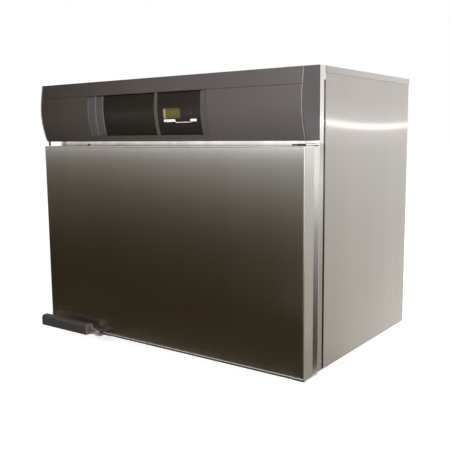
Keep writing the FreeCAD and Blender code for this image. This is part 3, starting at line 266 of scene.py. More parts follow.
middle, width = sum(screen_span) / 2, screen_span[1] - screen_span[0]
mat_middle, mat_depth = (screen_y + mat_front) / 2, mat_front - screen_y
mirror_card("dark_screen", (middle, screen_y, screen_height / 2), (width, screen_height), "Y", screen_paint)
mirror_card("dark_mat", (middle, mat_middle, 0.002), (width, mat_depth), "Z", mat_paint)


mirrored_eye = (-0.244, -1.36)


def brighter_behind(tree, place, front, behind):
    """Carries a tone over to another from the side panel's front edge, as mirrored, to its rear edge."""
    aside = calculated(tree, "SUBTRACT", along(tree, place, "X"), mirrored_eye[0])
    ahead = calculated(tree, "SUBTRACT", along(tree, place, "Y"), mirrored_eye[1])
    bearing = calculated(tree, "DIVIDE", ahead, aside)
    share = ramp_along(tree, bearing, 1.6, 2.9, [
        (0.0, 0.0), (0.20, 0.12), (0.262, 0.20), (0.40, 0.47), (0.52, 0.58), (0.75, 0.785), (1.0, 1.0),
    ])
    return blended(tree, share, front, behind)


def side_paint(tree, place, glow, clear):
    """A grey wall beside the cabinet, lighter at middle height."""
    z = along(tree, place, "Z")
    front = ramp_along(tree, z, 0.0, 1.0, [
        (0.0, (0.58, 0.555, 0.52)), (0.25, (0.63, 0.61, 0.585)), (0.45, (0.82, 0.80, 0.79)),
        (0.7, (0.84, 0.82, 0.82)), (1.0, (0.74, 0.72, 0.73)),
    ])
    tree.links.new(brighter_behind(tree, place, front, (1.19, 1.175, 1.16)), glow.inputs["Color"])
    return faded(tree, glow, clear, spread(tree, z, 1.0, 0.0, 1.2, 1.6))


side_mat_front = (-0.235, -0.195)


def side_floor_paint(tree, place, glow, clear):
    """A grey floor beside the cabinet, darker at its foot."""
    front = ramp_along(tree, along(tree, place, "X"), 0.385, 1.60, [
        (0.0, (0.32, 0.285, 0.25)), (0.03, (0.40, 0.365, 0.32)), (0.065, (0.42, 0.385, 0.35)),
        (0.085, (0.52, 0.49, 0.45)), (0.2, (0.51, 0.48, 0.425)), (0.45, (0.545, 0.515, 0.455)),
        (1.0, (0.58, 0.555, 0.52)),
    ])
    tree.links.new(brighter_behind(tree, place, front, (1.12, 1.10, 1.08)), glow.inputs["Color"])
    return faded(tree, glow, clear, spread(tree, along(tree, place, "Y"), 0.0, 1.0, *side_mat_front))


right_foot = (0.375, -0.195)


def trim_floor_paint(tree, place, glow, clear):
    """Darkest beside the cabinet's right front foot, and lighter with distance."""
    y = along(tree, place, "Y")
    aside = calculated(tree, "SUBTRACT", along(tree, place, "X"), right_foot[0])
    ahead = calculated(tree, "SUBTRACT", y, right_foot[1])
    squares = [calculated(tree, "MULTIPLY", leg, leg) for leg in (aside, ahead)]
    away = calculated(tree, "SQRT", calculated(tree, "ADD", *squares))
    tone = ramp_along(tree, away, 0.0, 6.0, [
        (0.0, (0.30, 0.28, 0.26)), (0.012, (0.11, 0.10, 0.095)), (0.06, (0.12, 0.11, 0.105)),
        (0.14, (0.19, 0.185, 0.18)), (0.30, (0.38, 0.37, 0.36)), (0.50, (0.66, 0.65, 0.64)),
        (0.74, (0.84, 0.84, 0.83)), (1.0, (0.96, 0.96, 0.95)),
    ])
    tree.links.new(tone, glow.inputs["Color"])
    return faded(tree, glow, clear, spread(tree, y, 1.0, 0.0, *side_mat_front))


def trim_screen_paint(tree, place, glow, clear):
    """A bright wall far off to the right, above the floor's far end."""
    glow.inputs["Color"].default_value = (1.0, 1.0, 0.99, 1.0)
    return faded(tree, glow, clear, spread(tree, along(tree, place, "Z"), 1.0, 0.0, 0.5, 0.9))


mirror_card("trim_mat", (3.385, -2.095, 0.004), (6.0, 3.81), "Z", trim_floor_paint)
mirror_card("trim_screen", (6.40, -2.60, 0.45), (0.90, 3.60), "X", trim_screen_paint)
mirror_card("grey_screen", (1.60, 2.0, 0.80), (1.60, 4.0), "X", side_paint)
mirror_card("grey_mat", (0.9925, 1.83, 0.003), (1.215, 4.34), "Z", side_floor_paint)


line_middle, line_low, line_bend = 0.215, 0.5338, 0.156


def line_paint(tree, place, glow, clear):
    """A thin line of light that dips in the middle, in a wide faint halo."""
    from_middle = calculated(tree, "SUBTRACT", along(tree, place, "Y"), line_middle)
    dip = calculated(tree, "MULTIPLY", calculated(tree, "MULTIPLY", from_middle, from_middle), line_bend)
    height = calculated(tree, "SUBTRACT", along(tree, place, "Z"), line_low)
    off_line = calculated(tree, "ABSOLUTE", calculated(tree, "SUBTRACT", height, dip))
    level = ramp_along(tree, off_line, 0.0, 0.06, [
        (0.0, 1.0), (0.07, 0.95), (0.12, 0.12), (0.45, 0.06), (1.0, 0.0),
    ])
    tree.links.new(level, glow.inputs["Color"])
    glow.inputs["Strength"].default_value = 1.7
    both = tree.nodes.new("ShaderNodeAddShader")
    tree.links.new(clear.outputs[0], both.inputs[0])
    tree.links.new(glow.outputs[0], both.inputs[1])
    return both


mirror_card("light_line", (0.45, 0.20, 0.54), (0.20, 0.60), "X", line_paint)


# ------------------------------------------------------------------ outer steel
# Side panels, top cover and face frame are stainless sheet with a vertical satin grain,
# folded at the edges and spot welded, so no fixing shows.
def noise(tree, place, scale, detail=2.0, rough=0.5):
    """Noise whose scale may differ along each axis."""
    mapping = tree.nodes.new("ShaderNodeMapping")
    tree.links.new(place, mapping.inputs["Vector"])
    mapping.inputs["Scale"].default_value = scale if hasattr(scale, "__len__") else (scale,) * 3
    texture = tree.nodes.new("ShaderNodeTexNoise")
    tree.links.new(mapping.outputs["Vector"], texture.inputs["Vector"])
    texture.inputs["Scale"].default_value = 1.0
    texture.inputs["Detail"].default_value = detail
    texture.inputs["Roughness"].default_value = rough
    return texture.outputs["Fac"]


def relief(tree, shader, height, depth, strength=1.0, under=None):
    """Bump of a real depth in metres, over an earlier one if given."""
    bump = tree.nodes.new("ShaderNodeBump")
    bump.inputs["Distance"].default_value = depth
    bump.inputs["Strength"].default_value = strength
    tree.links.new(height, bump.inputs["Height"])
    if under:
        tree.links.new(under, bump.inputs["Normal"])
    tree.links.new(bump.outputs["Normal"], shader.inputs["Normal"])
    return bump.outputs["Normal"]


def dressed(tree, shader, tone, metal, rough):
    """Gives a shader its colour, and how metallic and rough it is: roughness is a socket or a number."""
    tree.links.new(tone, shader.inputs["Base Color"])
    shader.inputs["Metallic"].default_value = metal
    if isinstance(rough, bpy.types.NodeSocket):
        tree.links.new(rough, shader.inputs["Roughness"])
    else:
        shader.inputs["Roughness"].default_value = rough


def satin_steel(name, colour, grain_axis, smooth=0.24, rough=0.30, depth=0.00001, painted_light_levels=None):
    """Stainless sheet with a grain along one axis and cloudy hand marks. The levels, if given, grade its
    colour with height as painted light and shade.
    """
    material, tree, shader, place = new_finish(name)
    scale = [650.0, 650.0, 650.0]
    scale["XYZ".index(grain_axis)] = 7.0
    wide = [38.0, 38.0, 38.0]
    wide["XYZ".index(grain_axis)] = 0.9
    grain = noise(tree, place, scale, 3.0, 0.6)
    bands = noise(tree, place, wide, 2.0)
    cloud = noise(tree, place, 3.2, 3.0)
    dark = tuple(c * 0.93 for c in colour)
    warm = (colour[0] * 1.02, colour[1] * 0.985, colour[2] * 0.94)
    steel = tones(tree, grain, (0.25, dark), (0.75, colour))
    steel = blended(tree, spread(tree, cloud, 0.0, 0.8, 0.4, 0.62), steel, warm)
    steel = blended(tree, spread(tree, bands, 0.0, 0.4), steel, tuple(c * 0.96 for c in colour))
    # Levels, if given, tint the steel lighter and darker with height: painted light and shade.
    if painted_light_levels:
        steel = tinted(tree, steel, ramp_along(tree, along(tree, place, "Z"), 0.03, 0.53, painted_light_levels))
    dressed(tree, shader, steel, 1.0, spread(tree, bands, smooth, rough))
    relief(tree, shader, grain, depth)
    shader.inputs["Anisotropic"].default_value = 0.8
    tangent = tree.nodes.new("ShaderNodeTangent")
    tangent.direction_type = "RADIAL"
    tangent.axis = grain_axis
    tree.links.new(tangent.outputs["Tangent"], shader.inputs["Tangent"])
    return material


stainless = (0.560, 0.535, 0.508)
panel_steel = satin_steel("satin_steel_panel", stainless, "Z", 0.235, 0.26)
cover_steel = satin_steel("satin_steel_cover", stainless, "Y")
# The face frame is painted near white high up, darker low down, and darker again in a band just above the
# door's top: painted reflection and shade.
frame_steel = satin_steel("satin_steel_frame", (0.92, 0.905, 0.88), "Z", 0.20, 0.28, painted_light_levels=[
    (0.0, 0.52), (0.1, 0.44), (0.4, 0.43), (0.6, 0.60), (0.8, 0.95), (0.925, 0.70), (0.936, 0.72),
    (0.942, 1.0),
])


def copied(name, node, joins_flat=False):
    """A selected copy of a piece of the construction model, joined up along its edges, and across
    flat faces if joins_flat."""
    bpy.ops.object.select_all(action="DESELECT")
    piece = bpy.data.objects.new(name, nodes[node].data.copy())
    bpy.context.scene.collection.objects.link(piece)
    piece.select_set(True)
    bpy.context.view_layer.objects.active = piece
    bpy.ops.mesh.customdata_custom_splitnormals_clear()
    bpy.ops.object.mode_set(mode="EDIT")
    bpy.ops.mesh.select_all(action="SELECT")
    bpy.ops.mesh.remove_doubles(threshold=0.00002)
    if joins_flat:
        bpy.ops.mesh.dissolve_limited(angle_limit=math.radians(0.6))
    bpy.ops.object.mode_set(mode="OBJECT")
    return piece


def eased(name, node, body, width, before=None):
    """A piece of the construction model with its edges rounded by width."""
    piece = copied(name, node, joins_flat=True)
    if before:
        before(piece)
    rounding = piece.modifiers.new("rounding", "BEVEL")
    rounding.width = width
    rounding.segments = 2
    rounding.angle_limit = math.radians(40.0)
    rounding.use_clamp_overlap = False
    bpy.ops.object.modifier_apply(modifier=rounding.name)
    bpy.ops.object.shade_smooth_by_angle(angle=math.radians(35.0))
    flat_faces = piece.modifiers.new("flat_faces", "WEIGHTED_NORMAL")
    flat_faces.keep_sharp = True
    flat_faces.weight = 100
    bpy.ops.object.modifier_apply(modifier=flat_faces.name)
    piece.select_set(False)
    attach(piece, body)
    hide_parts(node)
    return piece


for node, width, steel in (
    ("side_panel_left", 0.0008, panel_steel), ("side_panel_right", 0.0008, panel_steel),
    ("top_cover", 0.0010, cover_steel), ("face_frame", 0.0006, frame_steel),
):
    sheet = eased(node + "_sheet", node, "cabinet", width)
    cover(sheet, steel)


# ------------------------------------------------------------------ edge trims
# A narrow folded strip of bright stainless is clipped over each outer edge of the face
# frame. Its front slopes in behind the door.
# The trim is painted lighter towards its top and darker low down: painted reflection and shade.
trim_steel = satin_steel("trim_steel", (0.86, 0.85, 0.83), "Z", 0.16, 0.20, painted_light_levels=[
    (0.0, 0.66), (0.12, 0.57), (0.24, 0.70), (0.41, 0.78), (0.58, 0.75), (0.8, 0.98), (1.0, 1.0),
])


def edge_trim(name, side, z_low, z_high):
    """A strip that runs up beside the frame, slopes in and forward, then folds back."""
    edge, lip, inner, front = 0.3815, -0.1896, 0.3725, -0.1994
    thick, wide, hem = 0.0004, 0.0030, 0.0040
    bpy.ops.mesh.primitive_plane_add(size=1.0, location=(0.0, 0.0, 0.0))
    trim = bpy.context.object
    trim.name = name
    bpy.ops.object.mode_set(mode="EDIT")
    bpy.ops.mesh.select_all(action="SELECT")
    bpy.ops.transform.resize(value=(thick, wide, 1.0))
    bpy.ops.transform.translate(value=(side * edge, lip + wide / 2, z_low))
    bpy.ops.mesh.extrude_region_move(TRANSFORM_OT_translate={"value": (0.0, 0.0, z_high - z_low)})
    bpy.ops.mesh.select_all(action="SELECT")
    bpy.ops.mesh.normals_make_consistent(inside=False)
    bpy.ops.object.mode_set(mode="OBJECT")
    for fold, way in (("in", (side * (inner - edge), front - lip, 0.0)), ("back", (0.0, hem, 0.0))):
        bpy.ops.object.mode_set(mode="EDIT")
        bpy.ops.mesh.select_all(action="DESELECT")
        bpy.ops.mesh.select_mode(type="FACE")
        bpy.ops.object.mode_set(mode="OBJECT")
        faces = trim.data.polygons
        if fold == "in":
            pick = min((f for f in faces if f.normal.y < -0.9), key=lambda f: f.center.y)
        else:
            pick = min(faces, key=lambda f: (round(f.center.y, 5), abs(f.center.x)))
        pick.select = True
        bpy.ops.object.mode_set(mode="EDIT")
        bpy.ops.mesh.extrude_region_move(TRANSFORM_OT_translate={"value": way})
    bpy.ops.mesh.select_all(action="SELECT")
    bpy.ops.mesh.normals_make_consistent(inside=False)
    bpy.ops.object.mode_set(mode="OBJECT")
    trim.select_set(False)
    cover(trim, trim_steel)
    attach(trim, "cabinet")


edge_trim("edge_trim_right", 1, 0.0310, 0.4945)
edge_trim("edge_trim_left", -1, 0.0310, 0.5050)


# ------------------------------------------------------------------ inner sheets
# Base pan, machine deck and rear panel are mill-finish stainless: duller than the shell,
# cloudy, with faint rolling lines.
def cover_nodes(material, *names):
    """One finish on several pieces of the construction model."""
    for name in names:
        cover(nodes[name], material)


def mill_steel(name):
    """Cloudy sheet with faint rolling lines."""
    material, tree, shader, place = new_finish(name)
    cloud = noise(tree, place, 7.0, 4.0, 0.6)
    rolled = noise(tree, place, (60.0, 60.0, 3.0), 3.0, 0.6)
    tone = tones(tree, cloud, (0.3, (0.47, 0.46, 0.445)), (0.7, (0.56, 0.55, 0.53)))
    tone = blended(tree, spread(tree, rolled, 0.0, 0.5), tone, (0.52, 0.505, 0.48))
    dressed(tree, shader, tone, 1.0, spread(tree, cloud, 0.36, 0.44))
    relief(tree, shader, rolled, 0.00002)
    return material


cover_nodes(mill_steel("mill_finish"), "base_pan", "machine_deck", "rear_panel")


# ------------------------------------------------------------------ warming chamber
# A bright stainless liner with rounded inner corners, slotted strips for the shelf, a
# welded wire shelf on clips, and a perforated baffle under the fan.
liner_steel = satin_steel("liner_steel", (0.60, 0.59, 0.57), "X", 0.29, 0.33, 0.000004)
cover_nodes(liner_steel, "chamber_liner", "ceiling_baffle", "shaft_sleeve")
strip_steel = satin_steel("strip_steel", (0.58, 0.57, 0.55), "Z", 0.26, 0.36)
cover_nodes(strip_steel, "shelf_pilasters", "shelf_clips")


def bright_wire(name, colour, smooth, rough):
    """Drawn wire or turned bar: faint draw lines and dulled patches, from smooth to rough."""
    material, tree, shader, place = new_finish(name)
    lines = noise(tree, place, 420.0, 2.0)
    patch = noise(tree, place, 24.0, 3.0)
    tone = blended(tree, spread(tree, patch, 0.0, 1.0), colour, tuple(c * 0.86 for c in colour))
    dressed(tree, shader, tone, 1.0, spread(tree, patch, smooth, rough))
    relief(tree, shader, lines, 0.00001)
    return material


cover(nodes["wire_shelf"], bright_wire("shelf_wire", (0.70, 0.69, 0.67), 0.16, 0.30))


# ------------------------------------------------------------------ insulation
# Slabs of yellow-brown mineral wool packed between liner and shell and inside the door,
# with a loose, fibrous face.
def wool(name):
    """Coarse fibre in darker and paler clumps, with bound resin in its colour."""
    material, tree, shader, place = new_finish(name)
    fibre = noise(tree, place, (260.0, 900.0, 420.0), 6.0, 0.75)
    clump = noise(tree, place, 34.0, 4.0, 0.6)
    tone = tones(tree, fibre, (0.25, (0.30, 0.23, 0.10)), (0.55, (0.55, 0.45, 0.24)),
                 (0.8, (0.72, 0.63, 0.40)))
    tone = blended(tree, spread(tree, clump, 0.0, 0.7), tone, (0.42, 0.33, 0.16))
    dressed(tree, shader, tone, 0.0, 0.95)
    shader.inputs["Sheen Weight"].default_value = 0.3
    soft = relief(tree, shader, clump, 0.0012)
    relief(tree, shader, fibre, 0.0005, 1.0, soft)
    return material


def matted(name, node, body, grid, loose):
    """A slab of wool inside its solid's space: remeshed, then pulled in unevenly by up to loose."""
    slab = copied(name, node)
    voxels = slab.modifiers.new("voxels", "REMESH")
    voxels.mode = "VOXEL"
    voxels.voxel_size = grid
    bpy.ops.object.modifier_apply(modifier=voxels.name)
    tufts = bpy.data.textures.new(name + "_tufts", "CLOUDS")
    tufts.noise_scale = 0.022
    tufts.noise_depth = 3
    pull = slab.modifiers.new("pull", "DISPLACE")
    pull.texture = tufts
    pull.texture_coords = "LOCAL"
    pull.strength = loose
    pull.mid_level = 1.0
    bpy.ops.object.modifier_apply(modifier=pull.name)
    bpy.ops.object.shade_smooth()
    slab.select_set(False)
    cover(slab, mineral_wool)
    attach(slab, body)
    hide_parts(node)


mineral_wool = wool("mineral_wool")
matted("wool_batts", "insulation_batts", "cabinet", 0.008, 0.005)
matted("door_wool", "door_insulation", "door", 0.007, 0.004)


# ------------------------------------------------------------------ fan
# A pressed drum wheel on a ground shaft, turned by a small motor with a die-cast case,
# laminated core and pressed-in bearings.
def cast_metal(name, colour):
    """Die-cast or sand-blasted metal: fine pits and a soft cloud."""
    material, tree, shader, place = new_finish(name)
    pits = noise(tree, place, 850.0, 3.0, 0.7)
    cloud = noise(tree, place, 18.0, 2.0)
    tone = blended(tree, spread(tree, cloud, 0.0, 1.0), colour, tuple(c * 0.84 for c in colour))
    dressed(tree, shader, tone, 1.0, spread(tree, pits, 0.42, 0.58))
    relief(tree, shader, pits, 0.00006)
    return material


def stacked_iron(name):
    """Punched iron sheets pressed in a stack, with varnish in the joints."""
    material, tree, shader, place = new_finish(name)
    wave = tree.nodes.new("ShaderNodeTexWave")
    wave.bands_direction = "Z"
    wave.inputs["Scale"].default_value = 320.0
    wave.inputs["Distortion"].default_value = 0.4
    tree.links.new(place, wave.inputs["Vector"])
    sheets = tones(tree, wave.outputs["Fac"], (0.1, (0.10, 0.06, 0.045)), (0.5, (0.34, 0.33, 0.33)))
    tone = blended(tree, spread(tree, noise(tree, place, 40.0, 3.0), 0.0, 0.5), sheets, (0.22, 0.15, 0.11))
    dressed(tree, shader, tone, 0.8, 0.5)
    relief(tree, shader, wave.outputs["Fac"], 0.0001)
    return material


cover(nodes["fan_wheel"], bright_wire("wheel_steel", (0.62, 0.63, 0.64), 0.30, 0.45))
cover(nodes["fan_shaft"], bright_wire("ground_shaft", (0.68, 0.67, 0.66), 0.12, 0.22))
cover(nodes["motor_bearings"], bright_wire("bearing_steel", (0.60, 0.60, 0.61), 0.14, 0.24))
cover(nodes["motor_housing"], cast_metal("cast_aluminium", (0.60, 0.61, 0.62)))
cover_nodes(stacked_iron("motor_iron"), "motor_stator", "motor_rotor")


# ------------------------------------------------------------------ heater, probe and thermostat
# A tubular heater with a heat-tinted sheath rings the wheel. The probe and the safety
# thermostat's bulb hang beside it through the roof.
heater_sheath, tree, shader, place = new_finish("heater_sheath")
tint = noise(tree, place, (16.0, 16.0, 40.0), 3.0)
tone = tones(tree, tint, (0.3, (0.20, 0.15, 0.10)), (0.5, (0.30, 0.22, 0.17)), (0.7, (0.20, 0.20, 0.23)))
dressed(tree, shader, tone, 0.9, spread(tree, tint, 0.35, 0.55))
relief(tree, shader, noise(tree, place, 700.0, 2.0), 0.00003)
cover(nodes["heater_element"], heater_sheath)
cover(nodes["temperature_probe"], bright_wire("probe_steel", (0.66, 0.66, 0.65), 0.16, 0.28))


def moulded(name, colour, grain, depth, rough=0.5, fleck=0.12):
    """Moulded plastic or rubber: a spark-eroded grain, slight flow marks and worn patches."""
    material, tree, shader, place = new_finish(name)
    pebble = noise(tree, place, grain, 2.0, 0.6)
    flow = noise(tree, place, 9.0, 3.0)
    low = tuple(c * (1 - fleck) for c in colour)
    high = tuple(c * (1 + fleck) for c in colour)
    tone = tones(tree, pebble, (0.3, low), (0.7, high))
    tone = blended(tree, spread(tree, flow, 0.0, 0.5), tone, tuple(c * 1.12 for c in colour))
    dressed(tree, shader, tone, 0.0, spread(tree, flow, rough - 0.05, rough + 0.07))
    relief(tree, shader, pebble, depth)
    return material


black_nylon = moulded("black_nylon", (0.022, 0.022, 0.023), 900.0, 0.00004, 0.45)
cover(nodes["overheat_thermostat"], black_nylon)


# ------------------------------------------------------------------ parts on the machine deck
# The relay sits on an extruded heat sink, and the wiring would land on a white terminal
# block behind it.
cover(nodes["heat_sink"], bright_wire("extruded_aluminium", (0.64, 0.65, 0.66), 0.30, 0.42))
cover(nodes["solid_state_relay"], moulded("relay_case", (0.030, 0.030, 0.032), 700.0, 0.00003, 0.4))
cover(nodes["terminal_block"], moulded("terminal_nylon", (0.72, 0.71, 0.68), 600.0, 0.00004, 0.42, 0.03))


# ------------------------------------------------------------------ mains entry
# Inlet, fuse holder and rocker switch snap into the rear panel. All three are black
# nylon, and the rocker's face is polished by use.
cover_nodes(black_nylon, "inlet_socket", "fuse_holder", "switch_housing")
cover(nodes["power_rocker"], moulded("rocker_plastic", (0.035, 0.034, 0.034), 400.0, 0.00001, 0.26))


# ------------------------------------------------------------------ fascia
# One long dark grey moulding with a bowed front, closed at each end by a glued cap, with
# a stepped recess round the dark windows.
def reopened(material):
    """A finish taken up again: its node tree, its shader, its colour so far, and the three coordinates."""
    tree = material.node_tree
    shader = tree.nodes["Principled BSDF"]
    place = tree.nodes["Texture Coordinate"].outputs["Object"]
    plain = shader.inputs["Base Color"].links[0].from_socket
    return tree, shader, plain, [along(tree, place, axis) for axis in "XYZ"]


fascia_plastic = moulded("fascia_plastic", (0.055, 0.049, 0.048), 1100.0, 0.00005, 0.42)
tree, shader, plain, (x, _, z) = reopened(fascia_plastic)
shader.inputs["Specular IOR Level"].default_value = 0.32
# The moulding is painted darker and browner towards its left end: painted shade, since the lamps stand at the
# right.
plain = tinted(tree, plain, ramp_along(tree, x, -0.38, 0.38, [
    (0.0, (0.64, 0.58, 0.50)), (0.12, (0.80, 0.73, 0.63)), (0.35, (0.97, 0.90, 0.80)),
    (0.5, (1.05, 1.0, 0.93)), (0.65, (1.02, 1.0, 0.98)),
]))
# The stepped recess left of the windows is painted a little lighter: a painted highlight of its step walls.
steps_across = ramp_along(tree, x, -0.206, -0.161, [(0.0, 0.0), (0.05, 1.0), (0.95, 1.0), (1.0, 0.0)])
steps_up = ramp_along(tree, z, 0.518, 0.614, [(0.0, 0.0), (0.02, 1.0), (0.97, 1.0), (0.99, 0.0)])
on_steps = calculated(tree, "MULTIPLY", steps_across, steps_up)
plain = blended(tree, on_steps, plain, (0.064, 0.058, 0.057))
# The right cap's end face is painted darker: painted shade.
plain = blended(tree, spread(tree, x, 0.0, 1.0, 0.3788, 0.3800), plain, (0.034, 0.031, 0.031))
# A light line along each end cap's seam is a painted highlight.
seam_highlight = ramp_along(tree, calculated(tree, "ABSOLUTE", x), 0.3755, 0.3795, [
    (0.0, 0.0), (0.25, 0.0), (0.5, 0.95), (0.75, 0.0),
])
tree.links.new(blended(tree, seam_highlight, plain, (0.34, 0.335, 0.33)), shader.inputs["Base Color"])


def slope_steps(piece):
    """Takes the edges of the three steps at the window's left down to slopes."""
    recess_low, recess_high = 0.5175, 0.6135
    for step in (-0.205, -0.183, -0.162):
        rows = {}
        for edge in piece.data.edges:
            a, b = (piece.data.vertices[v].co for v in edge.vertices)
            at_step = all(abs(end.x - step) < 0.0002 and recess_low < end.z < recess_high for end in (a, b))
            if at_step and abs(a.z - b.z) > 0.001:
                rows.setdefault(round((a.z + b.z) / 2, 3), []).append((min(a.y, b.y), edge.index))
        bpy.ops.object.mode_set(mode="EDIT")
        bpy.ops.mesh.select_mode(type="EDGE")
        bpy.ops.mesh.select_all(action="DESELECT")
        bpy.ops.object.mode_set(mode="OBJECT")
        for found in rows.values():
            piece.data.edges[min(found)[1]].select = True
        bpy.ops.object.mode_set(mode="EDIT")
        bpy.ops.mesh.bevel(offset=0.0024, segments=1, affect="EDGES", clamp_overlap=False)
        bpy.ops.object.mode_set(mode="OBJECT")


moulding = eased("fascia_moulding", "fascia", "cabinet", 0.0004, slope_steps)
cover(moulding, fascia_plastic)
end_caps = eased("fascia_ends", "fascia_end_caps", "cabinet", 0.0012)
cover(end_caps, fascia_plastic)


# ------------------------------------------------------------------ windows, display and light
# Smoked acrylic panels let into the recess. The display is a grey-green crystal behind
# its own pane, and the light beside it is a red lens.
def smoked(name, colour):
    """Glossy dark acrylic with faint dust and wipe marks."""
    material, tree, shader, place = new_finish(name)
    dust = noise(tree, place, 420.0, 2.0)
    wipe = noise(tree, place, (26.0, 26.0, 60.0), 3.0)
    tone = tones(tree, dust, (0.35, colour), (0.75, tuple(c * 1.1 for c in colour)))
    dressed(tree, shader, tone, 0.0, spread(tree, wipe, 0.26, 0.34))
    shader.inputs["IOR"].default_value = 1.40
    relief(tree, shader, wipe, 0.00002)
    return material


cover_nodes(smoked("smoked_acrylic", (0.0135, 0.0105, 0.0080)), "window_panel", "control_panel")

panel_low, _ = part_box("window_panel")
bow_middle, bow_radius = Vector((0.0, -0.07245, 0.58071)), 0.17630
bow_start, bow_turn = math.radians(-20.2), math.radians(30.3)
bpy.ops.mesh.primitive_plane_add(size=1.0, location=(0.0, 0.0, 0.0))
bead = bpy.context.object
bead.name = "window_bead"
bpy.ops.object.mode_set(mode="EDIT")
bpy.ops.mesh.select_all(action="SELECT")
bpy.ops.transform.resize(value=(0.0022, 0.0012, 1.0))
bpy.ops.mesh.bevel(offset=0.0004, segments=1, affect="VERTICES")
bpy.ops.transform.translate(value=bow_middle + Vector((panel_low.x + 0.0009, -bow_radius, 0.0)))
bpy.ops.transform.rotate(value=bow_start, orient_axis="X", center_override=bow_middle)
bpy.ops.mesh.spin(steps=14, angle=bow_turn, center=bow_middle, axis=(1.0, 0.0, 0.0))
bpy.ops.mesh.select_all(action="SELECT")
bpy.ops.mesh.remove_doubles(threshold=0.00001)
bpy.ops.mesh.normals_make_consistent(inside=False)
bpy.ops.object.mode_set(mode="OBJECT")
bpy.ops.object.shade_smooth_by_angle(angle=math.radians(50.0))
bead.select_set(False)
cover(bead, moulded("bead_plastic", (0.10, 0.092, 0.090), 900.0, 0.00003, 0.35))
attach(bead, "cabinet")

display_low, display_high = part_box("display")
crystal, tree, shader, place = new_finish("display_crystal")
olive = ramp_along(tree, along(tree, place, "X"), display_low.x, display_high.x, [
    (0.0, (0.26, 0.215, 0.18)), (0.09, (0.26, 0.22, 0.17)), (0.15, (0.066, 0.052, 0.007)),
    (0.9, (0.066, 0.052, 0.009)), (1.0, (0.045, 0.036, 0.008)),
])
olive = blended(tree, spread(tree, noise(tree, place, 300.0, 3.0), 0.0, 0.3), olive, (0.085, 0.070, 0.014))
dressed(tree, shader, olive, 0.0, 0.18)
cover(nodes["display"], crystal)

lens_red, tree, shader, place = new_finish("lens_red")
facets = noise(tree, place, 900.0, 2.0)
red = tones(tree, facets, (0.3, (0.060, 0.010, 0.007)), (0.7, (0.085, 0.015, 0.010)))
dressed(tree, shader, red, 0.0, 0.32)
cover(nodes["status_light"], lens_red)


# ------------------------------------------------------------------ keys
# Two white push keys under the display, each on a spring in the panel, joined by a thin
# printed line.
key_white = moulded("key_white", (0.64, 0.625, 0.61), 800.0, 0.00002, 0.35, 0.02)
for name in ("set_key", "power_key"):
    cap = eased(name + "_cap", name, name, 0.0005)
    cover(cap, key_white)


def small_part(name, size, centre, rim, segments=2, is_round=False):
    """A small bar or round button with eased rims."""
    if is_round:
        bpy.ops.mesh.primitive_cylinder_add(vertices=24, radius=0.5, depth=1.0, location=(0.0, 0.0, 0.0))
    else:
        bpy.ops.mesh.primitive_cube_add(size=1.0, location=(0.0, 0.0, 0.0))
    part = bpy.context.object
    part.name = name
    bpy.ops.object.mode_set(mode="EDIT")
    bpy.ops.mesh.select_all(action="SELECT")
    bpy.ops.transform.resize(value=size)
    bpy.ops.transform.translate(value=centre)
    bpy.ops.mesh.bevel(offset=rim, segments=segments, affect="EDGES")
    bpy.ops.object.mode_set(mode="OBJECT")
    bpy.ops.object.shade_smooth_by_angle(angle=math.radians(35.0))
    part.select_set(False)
    return part


line = small_part("key_line", (0.0440, 0.0004, 0.0011), (0.0820, -0.2452, 0.5463), 0.0001, segments=1)
cover(line, key_white)
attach(line, "cabinet")


# ------------------------------------------------------------------ controller
# The board reads the probe and keys and drives the relay. It sits in a black box behind
# the windows, in green solder resist.
board_green, tree, shader, place = new_finish("board_green")
tracks = tree.nodes.new("ShaderNodeTexBrick")
tree.links.new(place, tracks.inputs["Vector"])
tracks.inputs["Scale"].default_value = 120.0
tracks.inputs["Color1"].default_value = (0.012, 0.085, 0.030, 1.0)
tracks.inputs["Color2"].default_value = (0.016, 0.110, 0.040, 1.0)
tracks.inputs["Mortar"].default_value = (0.030, 0.180, 0.070, 1.0)
dressed(tree, shader, tracks.outputs["Color"], 0.0, 0.3)
cover(nodes["controller_board"], board_green)
cover(nodes["controller_housing"], black_nylon)


# ------------------------------------------------------------------ screws, nuts and feet
# Zinc-plated fixings. The feet are black rubber pads on a zinc-plated stem, held by a
# nut on each side of the base pan.
cover_nodes(cast_metal("zinc_plate", (0.62, 0.62, 0.60)), "machine_screws", "foot_lock_nuts")
cover(nodes["levelling_feet"], moulded("foot_rubber", (0.030, 0.029, 0.028), 500.0, 0.00010, 0.75))


# ------------------------------------------------------------------ door
# A folded stainless pan with a stainless liner screwed over its back, filled with wool.
# A soft grey gasket closes it against the face frame, and a rubber sweep runs below.
door_steel = satin_steel("door_steel", (0.585, 0.560, 0.530), "Z", 0.22, 0.25)
tree, shader, plain, (x, y, z) = reopened(door_steel)
# The door's right side is painted darker low down and lighter towards its top: painted reflection.
side_painted_reflection = ramp_along(tree, z, 0.03, 0.53, [
    (0.0, (0.57, 0.55, 0.51)), (0.1, (0.50, 0.48, 0.44)), (0.2, (0.56, 0.54, 0.505)),
    (0.4, (0.56, 0.535, 0.50)), (0.6, (0.61, 0.585, 0.555)), (0.8, (0.72, 0.69, 0.66)),
    (0.9, (0.84, 0.815, 0.78)),
])
tone = blended(tree, spread(tree, x, 0.0, 1.0, 0.3798, 0.3806), plain, side_painted_reflection)
# The fold along the door's foot is painted dark: painted shade.
bottom_fold_shade = calculated(tree, "MULTIPLY", spread(tree, z, 1.0, 0.0, 0.0318, 0.0324),
                      spread(tree, y, 1.0, 0.0, -0.2456, -0.2450))
tone = blended(tree, bottom_fold_shade, tone, (0.07, 0.066, 0.060))
